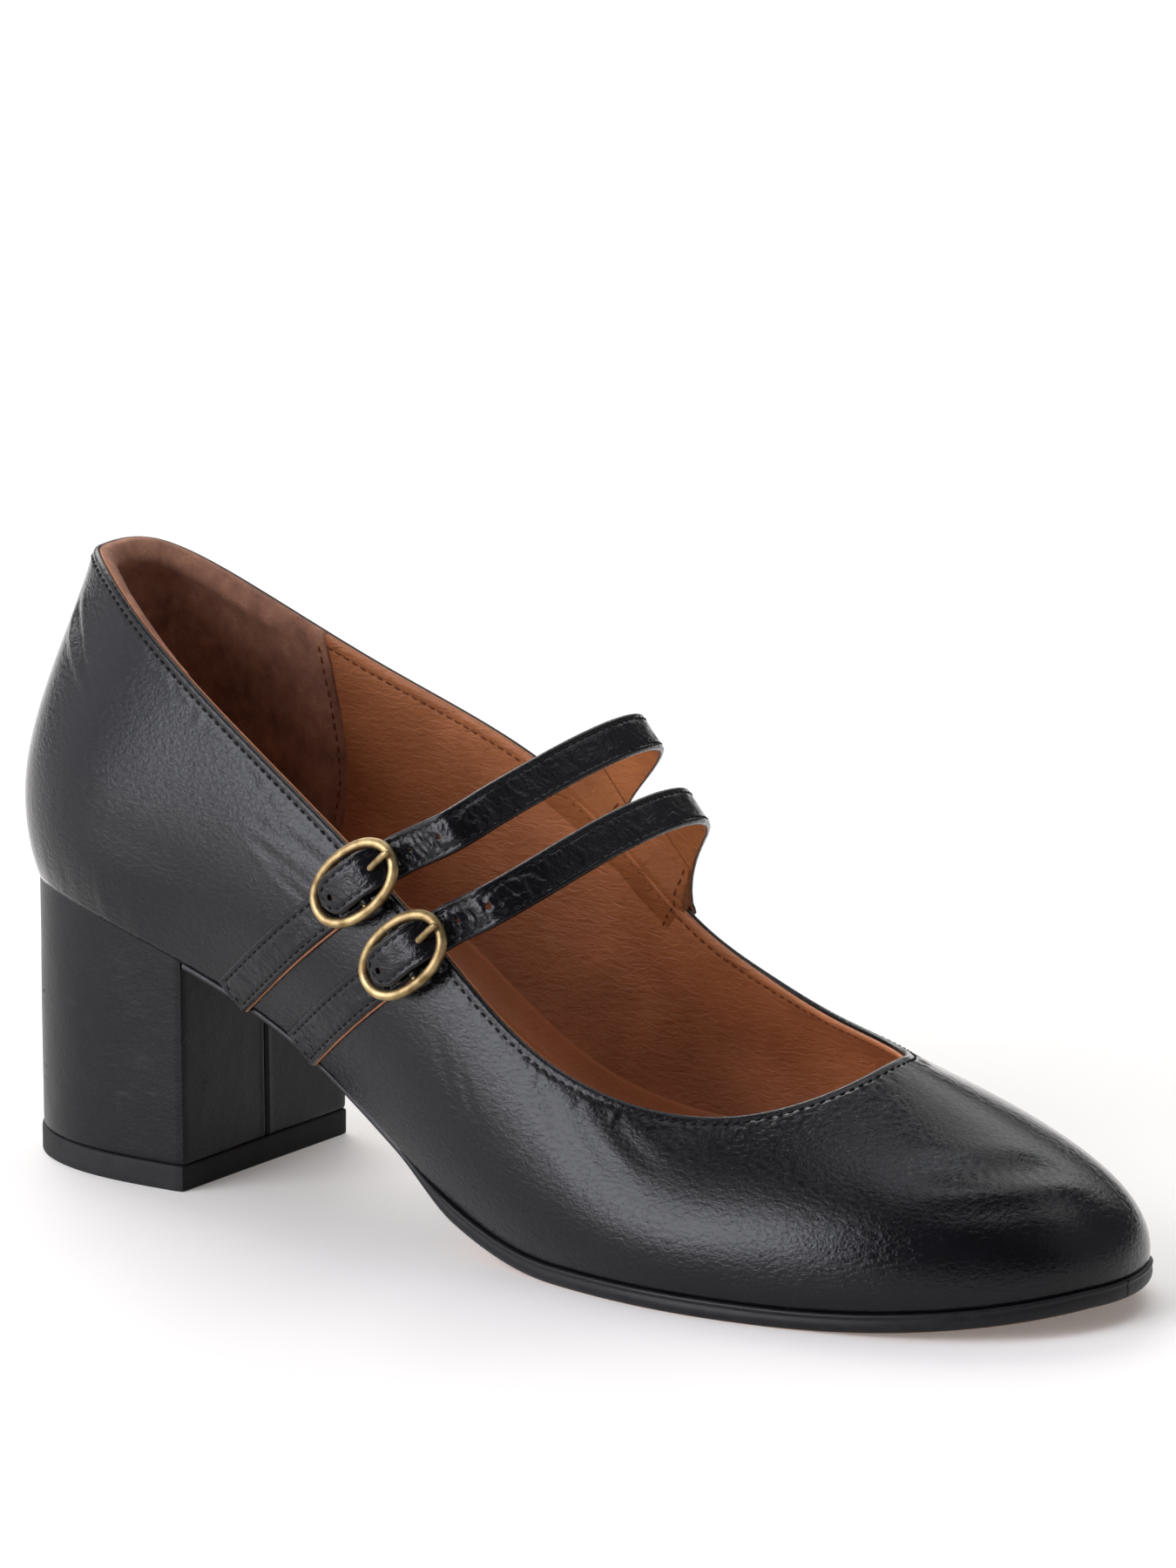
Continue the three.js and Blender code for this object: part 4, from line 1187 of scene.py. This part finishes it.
def clear_of_wall(place, h):
    """Lays a strap's root on the inner wall, h mm over its clearance. Points in the air
    are only moved if they are too close to the wall."""
    low = place[..., 1] > ROOT_SIDE
    if not low.any():
        return place
    spots = place[low]
    u, v = find_on_wall(spots[:, 0], spots[:, 2], 1)
    normal = wall_normal(u, np.minimum(v, 0.999))
    stand = np.sum((spots - wall(u, v)) * normal, axis=-1)
    move = GAP + np.broadcast_to(h, place.shape[:-1])[low] - stand
    move = move * np.where(move > 0, smooth((1.03 - v) / 0.03), smooth((0.99 - v) / 0.06))
    place = place.copy()
    place[low] = spots + normal * move[:, None]
    return place


def strap_ribbon(strap, axes):
    """The strap from its tip in the buckle, over the instep, to the inner wall, and where
    along it the topline is."""
    lift = GAP + STRAP_THICK / 2
    land, _ = spot_on_wall(*strap["landing"], 1, lift)
    start = [in_frame(axes, s, 0, h) for s, h in STRAP_IN_BUCKLE]
    line = line_through([*start, *strap["arch"], land], 260)
    ahead = unit(np.gradient(line, axis=0))
    across = unit(ACROSS - ahead * (ahead @ ACROSS)[:, None])
    out = unit(np.cross(ahead, across))
    air_run = run_along(line)[-1]

    # The root, from there down the wall.
    xs, zs = np.linspace(strap["landing"], strap["root"], 60).T
    low, normal = spot_on_wall(xs, zs, 1, lift)
    root_across = unit(np.cross(normal, unit(np.gradient(low, axis=0))))
    root_across = root_across * np.sign((root_across @ across[-1])[:, None])
    middle = np.vstack([line, low[1:]])
    across = np.vstack([across, root_across[1:]])
    out = np.vstack([out, normal[1:]])

    run = run_along(middle)
    grown = mix(STRAP_WIDTH, strap["root_width"], smooth((run - air_run) / 9)) / 2
    tip = np.clip(1 - run / TIP_ROUND, 0, 1)
    half = grown * np.sqrt(1 - 0.985 * tip**2)
    middle = middle - out * (STRAP_THICK / 2)
    topline = air_run - 1.5
    before = np.maximum(topline - run, 0)
    flare = {side: wide * np.exp(-before / reach) for side, (wide, reach) in strap["flare"].items()}
    return Ribbon(middle, across, out, half, flare, clear_of_wall), topline


def layer(ribbon, s, low, high, across, inset=0.0, round_over=0.0, relief=None):
    """One layer of a ribbon between two heights over its lower face, as a closed mesh."""
    k = np.linspace(-1, 1, across)
    k = np.sign(k) * np.abs(k) ** 0.75
    w, from_edge = ribbon.widths(s, k, inset)
    s = np.broadcast_to(s[:, None], w.shape)
    top = np.full_like(w, high)
    if round_over:
        dip = np.clip(1 - from_edge / round_over, 0, 1)
        top = top - round_over * 0.85 * (1 - np.sqrt(1 - dip**2))
    if relief:
        top = top + relief(s, w, from_edge)
    return sheet(ribbon.at(s, w, top), ribbon.at(s, w, low))


def strap_relief(seed, strength):
    """Crinkles across the strap, of a strength given along it, and the groove of its two
    stitch rows."""
    def relief(s, w, from_edge):
        folds = 1 - 2 * np.abs(noise_over((s + 0.35 * w) / 1.15, w / 2.4, seed))
        fine = noise_over(s / 0.8, w / 1.1, seed + 1, 4)
        crinkles = strength(s) * smooth((from_edge - 1.3) / 0.8) * (0.27 * folds + 0.06 * fine)
        return crinkles - 0.13 * bump_at(from_edge, EDGE_STITCH, 0.3)
    return relief


def edge_threads(ribbon, height, start, stop, round_tip=False):
    """Stitches near both edges of a ribbon, as one row where they go round its tip."""
    s = np.linspace(stop, start, 500)
    halves = {side: np.maximum(ribbon.half_at(s, side) - EDGE_STITCH, 0) for side in (-1, 1)}
    up = ribbon.up_at(s)
    one = ribbon.at(s, halves[1], height)
    other = ribbon.at(s, -halves[-1], height)[::-1]
    rows = [(one, up), (other, up[::-1])]
    if round_tip:
        rows = [(np.vstack([one, other]), np.vstack([up, up[::-1]]))]
    return [stitches(line, normal, radius=FINE_THREAD) for line, normal in rows]


def cut_holes(obj, ribbon, places):
    """Bores holes through a strap with short rods."""
    rods = []
    for s in places:
        depths = np.array([-1.2, 0.0, 1.4, 2.8])[:, None]
        rods.append(rod(ribbon.at(s, 0.0) + ribbon.up_at(s) * depths, HOLE_RADIUS, 18))
    borer = new_object("borer", joined(rods))
    modifier = obj.modifiers.new("holes", "BOOLEAN")
    modifier.object = borer
    modifier.operation = "DIFFERENCE"
    modifier.solver = "EXACT"
    bpy.context.view_layer.objects.active = obj
    bpy.ops.object.modifier_apply(modifier=modifier.name)
    bpy.data.meshes.remove(borer.data)


def strip_pieces(node, leather, backing, backing_look, threads):
    """The pieces of a strap or tab, which replace its node: black layer, tan layer, thread.
    It gives the two layers."""
    layers = (
        piece(f"{node}_leather", leather, LOOK["strap"], (node,)),
        piece(f"{node}_lining", backing, LOOK[backing_look]),
    )
    piece(f"{node}_stitches", joined(threads), LOOK["thread"])
    return layers


def make_strap(name, strap, seed):
    """The strap and its threads. It gives the axes of its buckle."""
    axes = buckle_frame(strap)
    ribbon, topline = strap_ribbon(strap, axes)
    over_bar = in_frame(axes, 0, 0, dict(STRAP_IN_BUCKLE)[0])
    bar_run = ribbon.run[np.linalg.norm(ribbon.middle - over_bar, axis=1).argmin()]
    s = np.linspace(0, ribbon.length, 420)
    s = np.concatenate([np.linspace(0, 3, 16)[:-1], s[s > 3]])

    def strength(s):
        past = s - bar_run
        return mix(0.1, 1.0, smooth((past - 6) / 4)) * mix(1, 0.15, smooth((past - 27) / 7))

    on_wall = smooth((s - topline) / 3)
    leather = layer(
        ribbon, s, STRAP_LINING * (1 - on_wall)[:, None], STRAP_THICK, 22,
        round_over=0.45, relief=strap_relief(seed, strength),
    )
    # The tan layer under the strap takes the darker lining, which is painted shade.
    backing = layer(ribbon, s, 0.0, LINING_FACE, 8, inset=0.12 + 1.6 * on_wall)
    height, stop = STRAP_THICK - 0.12, ribbon.length - 1
    threads = edge_threads(ribbon, height, EDGE_STITCH, stop, round_tip=True)
    for part in strip_pieces(f"strap_{name}", leather, backing, "strap_lining_painted_shade", threads):
        cut_holes(part, ribbon, [bar_run + hole for hole in STRAP_HOLES])
        sharp_edges(part)
    make_root_lining(name, ribbon, topline)
    return axes


def make_root_lining(name, ribbon, topline):
    """The shoe's lining, carried up over the topline onto the strap's underside."""
    s = np.linspace(topline - 8, topline + 9, 90)
    w, from_edge = ribbon.widths(s, np.linspace(-1, 1, 26), 0.2)
    under = ribbon.at(s[:, None], w)
    u, v = find_on_wall(under[..., 0], under[..., 2], 1)
    below = (1 - v) * top_speed(u)
    normal = wall_normal(u, np.minimum(v, 1.0))
    ends = smooth(from_edge / 2.5) * smooth((8.5 - below) / 3)
    face_in = wall(u, v) - normal * (WALL + 0.32 * ends - 0.22)[..., None]
    # Above the topline it lies on the strap; it crosses over the bead, and goes down inside.
    out = ribbon.up_at(s)[:, None]
    over = smooth((below + 4.2) / 4.0)[..., None]
    face = mix(under - out * 0.3, face_in, over)
    dive = smooth((below + 0.6) / 0.8)[..., None]
    back = mix(under + out * 0.15, wall(u, v) - normal * (WALL - 0.5), dive)
    # Its darker tan is painted shade for the shadow under the strap.
    piece(f"strap_{name}_root_lining", sheet(face, back), LOOK["strap_lining_painted_shade"])
    # The seam runs 3 columns in from the toe side, and stops short at both ends.
    seam = (slice(4, -24), 3)
    away = -unit(mix(np.broadcast_to(out, face.shape)[seam], normal[seam], over[seam]))
    threads = stitches(face[seam], away, radius=0.16, sunk=0.12)
    piece(f"strap_{name}_root_stitches", threads, LOOK["tan_thread"])


def make_tab(name, strap, axes, seed):
    """The outer-side tab: it climbs the wall from the feather edge and wraps the bar."""
    last_on_wall = np.array(strap["buckle"]) - ALONG[[0, 2]] * TAB_LEAVES_WALL
    xs, zs = np.linspace(strap["foot"], last_on_wall, 90).T
    flat, normal = spot_on_wall(xs, zs, -1, TAB_GAP)
    radius = BAR_WIRE / 2 + GAP + TAB_THICK
    angles = np.radians(np.linspace(-90, 80, 6))
    hook = in_frame(axes, np.cos(angles) * radius, 0.0, BAR_STANDOFF + np.sin(angles) * radius)
    hook_run = radius * (angles[-1] - angles[0]) + 1.5
    middle = line_through(np.vstack([flat[::6], hook]), 190)
    ahead = unit(np.gradient(middle, axis=0))
    nearest = np.linalg.norm(middle[:, None] - flat[None], axis=-1).argmin(axis=1)
    across = unit(np.cross(normal[nearest], ahead))
    across = across * np.sign((across @ axes[2])[:, None])
    out = unit(np.cross(ahead, across))
    out = out * np.sign(out[0] @ normal[0])
    run = run_along(middle)
    ribbon = Ribbon(middle, across, out, STRAP_WIDTH / 2 + smooth((run - run[-1] + 7) / 4))
    shifted = middle - across * TAB_LINING_SHIFT
    under = Ribbon(shifted, across, out, STRAP_WIDTH / 2)
    s = np.linspace(0, ribbon.length, 150)
    leather = layer(
        ribbon, s, STRAP_LINING, TAB_THICK + 0.1, 20,
        round_over=0.4, relief=strap_relief(seed, lambda s: 0.3),
    )
    flat_s = s[s < ribbon.length - hook_run]
    backing = layer(under, flat_s, -0.25, LINING_FACE, 6, inset=-0.05)
    height, start = TAB_THICK + 0.02, 1.2
    threads = edge_threads(ribbon, height, start, ribbon.length - hook_run - 1)
    foot_w = np.linspace(1, -1, 40) * (STRAP_WIDTH / 2 - EDGE_STITCH)
    foot = ribbon.at(start, foot_w, height)
    threads.append(stitches(foot, 0 * foot + ribbon.up_at(start), radius=FINE_THREAD))
    for part in strip_pieces(f"tab_{name}", leather, backing, "raw_edge", threads):
        sharp_edges(part)


def make_buckle(name, axes):
    """An oval ring with a bar across its middle, and the prong that hangs on it."""
    angle = np.arange(112) / 112 * 2 * np.pi
    long, short = (RING_LONG - RING_WIRE) / 2, (RING_SHORT - RING_WIRE) / 2
    full = 0.93  # the ring is a touch squarer than an ellipse
    s, w = (
        half * np.sign(turn(angle)) * np.abs(turn(angle)) ** full
        for half, turn in ((long, np.cos), (short, np.sin))
    )
    ring = in_frame(axes, s, w, RING_STANDOFF + RING_TILT * s)
    bar = in_frame(axes, 0, np.linspace(-short, short, 9), BAR_STANDOFF)
    shape = joined([rod(ring, RING_WIRE / 2, 22, True), rod(bar, BAR_WIRE / 2, 18)])
    piece(f"buckle_{name}_ring", shape, LOOK["brass"], (f"buckle_{name}",))

    line = line_through([in_frame(axes, s, 0, h) for s, h in PRONG_LINE], 60)
    run = run_along(line)
    end = np.clip((run[-1] - run) / 0.9, 0, 1)
    thick = PRONG_WIRE / 2 * mix(1.0, 0.82, run / run[-1]) * np.sqrt(1 - (1 - end) ** 2 * 0.97)
    piece(f"buckle_{name}_prong", rod(line, thick, 18), LOOK["brass"],
          (f"prong_{name}",))


# ---------------------------------------------------------------- building the shoe
piece("upper_leather", make_upper_leather(), LOOK["upper"], ("upper",))
piece("topline_stitches", make_topline_stitches(), LOOK["thread"])
piece("tan_lining", make_lining(), LOOK["lining"])
piece("suede_heel_grip", make_heel_grip(), LOOK["suede"])
piece("lining_stitches", make_lining_stitches(), LOOK["tan_thread"])
piece("insole_sock", make_insole(), LOOK["insole"], ("insole",))
piece("insole_flank", make_insole_flank(), LOOK["insole"])
sole = piece("sole_leather", make_sole(), LOOK["sole"], ("outsole",))
cover = piece("heel_cover", make_heel_cover(), LOOK["cover"], ("heel_block",))
tip = piece("heel_tip", make_heel_tip(), LOOK["rubber"], ("heel_top_piece",))
sharp_edges(sole, 60)
sharp_edges(cover)
sharp_edges(tip)
for strap_name, seed in (("rear", 51), ("front", 61)):
    buckle_axes = make_strap(strap_name, STRAPS[strap_name], seed)
    make_tab(strap_name, STRAPS[strap_name], buckle_axes, seed + 20)
    make_buckle(strap_name, buckle_axes)


# ---------------------------------------------------------------- floor, light, camera
SHOE_MIDDLE = np.array([0.0, 0.0, 0.05])


def softbox(name, azimuth, elevation, distance, size, radiance):
    """A square light that faces the shoe, from an azimuth (0 is -Y, 90 is +X)."""
    a, e = math.radians(azimuth), math.radians(elevation)
    way = np.array([math.sin(a) * math.cos(e), -math.cos(a) * math.cos(e), math.sin(e)])
    lamp = bpy.data.lights.new(name, "AREA")
    lamp.shape = "RECTANGLE"
    lamp.size, lamp.size_y = size, size
    lamp.energy = radiance * math.pi * size**2
    obj = bpy.data.objects.new(name, lamp)
    obj.location = SHOE_MIDDLE + way * distance
    obj.rotation_euler = Vector(-way).to_track_quat("-Z", "Y").to_euler()
    bpy.context.scene.collection.objects.link(obj)
    return obj


def make_floor():
    mesh = bpy.data.meshes.new("floor")
    half = 9.0
    corners = [(-half, -half, 0), (half, -half, 0), (half, half, 0), (-half, half, 0)]
    mesh.from_pydata(corners, [], [(0, 1, 2, 3)])
    mesh.materials.append(paper("pale_paper"))
    floor = bpy.data.objects.new("floor", mesh)
    bpy.context.scene.collection.objects.link(floor)


# The studio by direction: a level, the azimuths and the elevations between which it rises
# and falls, in degrees, and a tint.
STUDIO = [
    # the key, a tall soft panel on the left of the camera with a crisp right edge
    (6.8, (-50, -35, -3.5, -1), (-95, -92, 27, 52), (0.97, 0.98, 1.07)),
    (1.4, (-108, -66, -3.5, -1), (-95, -92, 27, 52), (0.97, 0.98, 1.07)),
    # the room's pale far side, which the visible leather doesn't reflect
    (2.6, (-160, -146, -104, -84), (6, 20, 46, 60), (1.0, 0.99, 0.97)),
    # the ceiling
    (1.9, (-200, -190, 190, 200), (65, 79, 95, 96), (0.97, 0.98, 1.06)),
    (2.9, (116, 136, 158, 172), (70, 78, 88, 90), (0.95, 0.98, 1.08)),
    (1.0, (-70, -50, -4, 4), (30, 45, 56, 64), (1.0, 1.0, 1.0)),
    # the right side falls off towards the back and lifts again above
    (0.42, (82, 96, 110, 185), (-5, 0, 40, 62), (0.95, 0.98, 1.08)),
    (1.6, (112, 150, 190, 200), (38, 56, 66, 80), (1.0, 1.0, 1.0)),
    (1.7, (-190, -185, -164, -154), (10, 30, 60, 70), (1.0, 1.0, 1.0)),
]
STUDIO_DIM = 0.07  # what the dark flag in front of the shoe sends back


def make_world():
    """A studio made of soft panels, each a smooth patch of the sky."""
    world = bpy.data.worlds.new("studio")
    world.use_nodes = True
    bpy.context.scene.world = world
    n = Nodes(world.node_tree)
    place = n.add("ShaderNodeTexCoord", {})["Generated"]
    split = n.add("ShaderNodeSeparateXYZ", {0: place})
    turn = n.math("ARCTAN2", split["X"], n.math("MULTIPLY", split["Y"], -1.0))
    rise = n.math("ARCSINE", split["Z"])

    def step(angle, low, high):
        values = {"Value": angle, "From Min": math.radians(low), "From Max": math.radians(high)}
        return n.add("ShaderNodeMapRange", values, interpolation_type="SMOOTHSTEP")["Result"]

    def between(angle, limits):
        """1 between the two middle limits, and 0 outside the outer ones."""
        start, full, falls, end = limits
        return n.math("MULTIPLY", step(angle, start, full), step(angle, end, falls))

    total = (STUDIO_DIM,) * 3
    for level, azimuths, elevations, tint in STUDIO:
        share = n.math("MULTIPLY", between(turn, azimuths), between(rise, elevations))
        values = {0: tuple(level * c for c in tint), "Scale": share}
        panel = n.add("ShaderNodeVectorMath", values, operation="SCALE")[0]
        total = n.add("ShaderNodeVectorMath", {0: total, 1: panel}, operation="ADD")[0]
    n.put(world.node_tree.nodes["Background"], {"Color": total})


make_floor()
make_world()
softbox("side_fill", -118, 40, 1.5, 0.7, 3.0).data.color = (1.0, 0.99, 0.97)
floor_wash = softbox("floor_wash", -32, 20, 0.6, 0.4, 4.0)
floor_wash.rotation_euler = (0, 0, 0)
floor_wash.data.spread = math.radians(80)

camera_data = bpy.data.cameras.new("camera")
camera_data.lens = 260.78
camera_data.sensor_width = 36.0
camera_data.clip_end = 50.0
camera = bpy.data.objects.new("camera", camera_data)
camera.location = (1.1395, -1.6171, 0.5529)
camera.rotation_euler = (math.radians(90 - 13.409), 0, math.radians(35.085))
bpy.context.scene.collection.objects.link(camera)
bpy.context.scene.camera = camera
bpy.context.scene.view_settings.view_transform = "Standard"
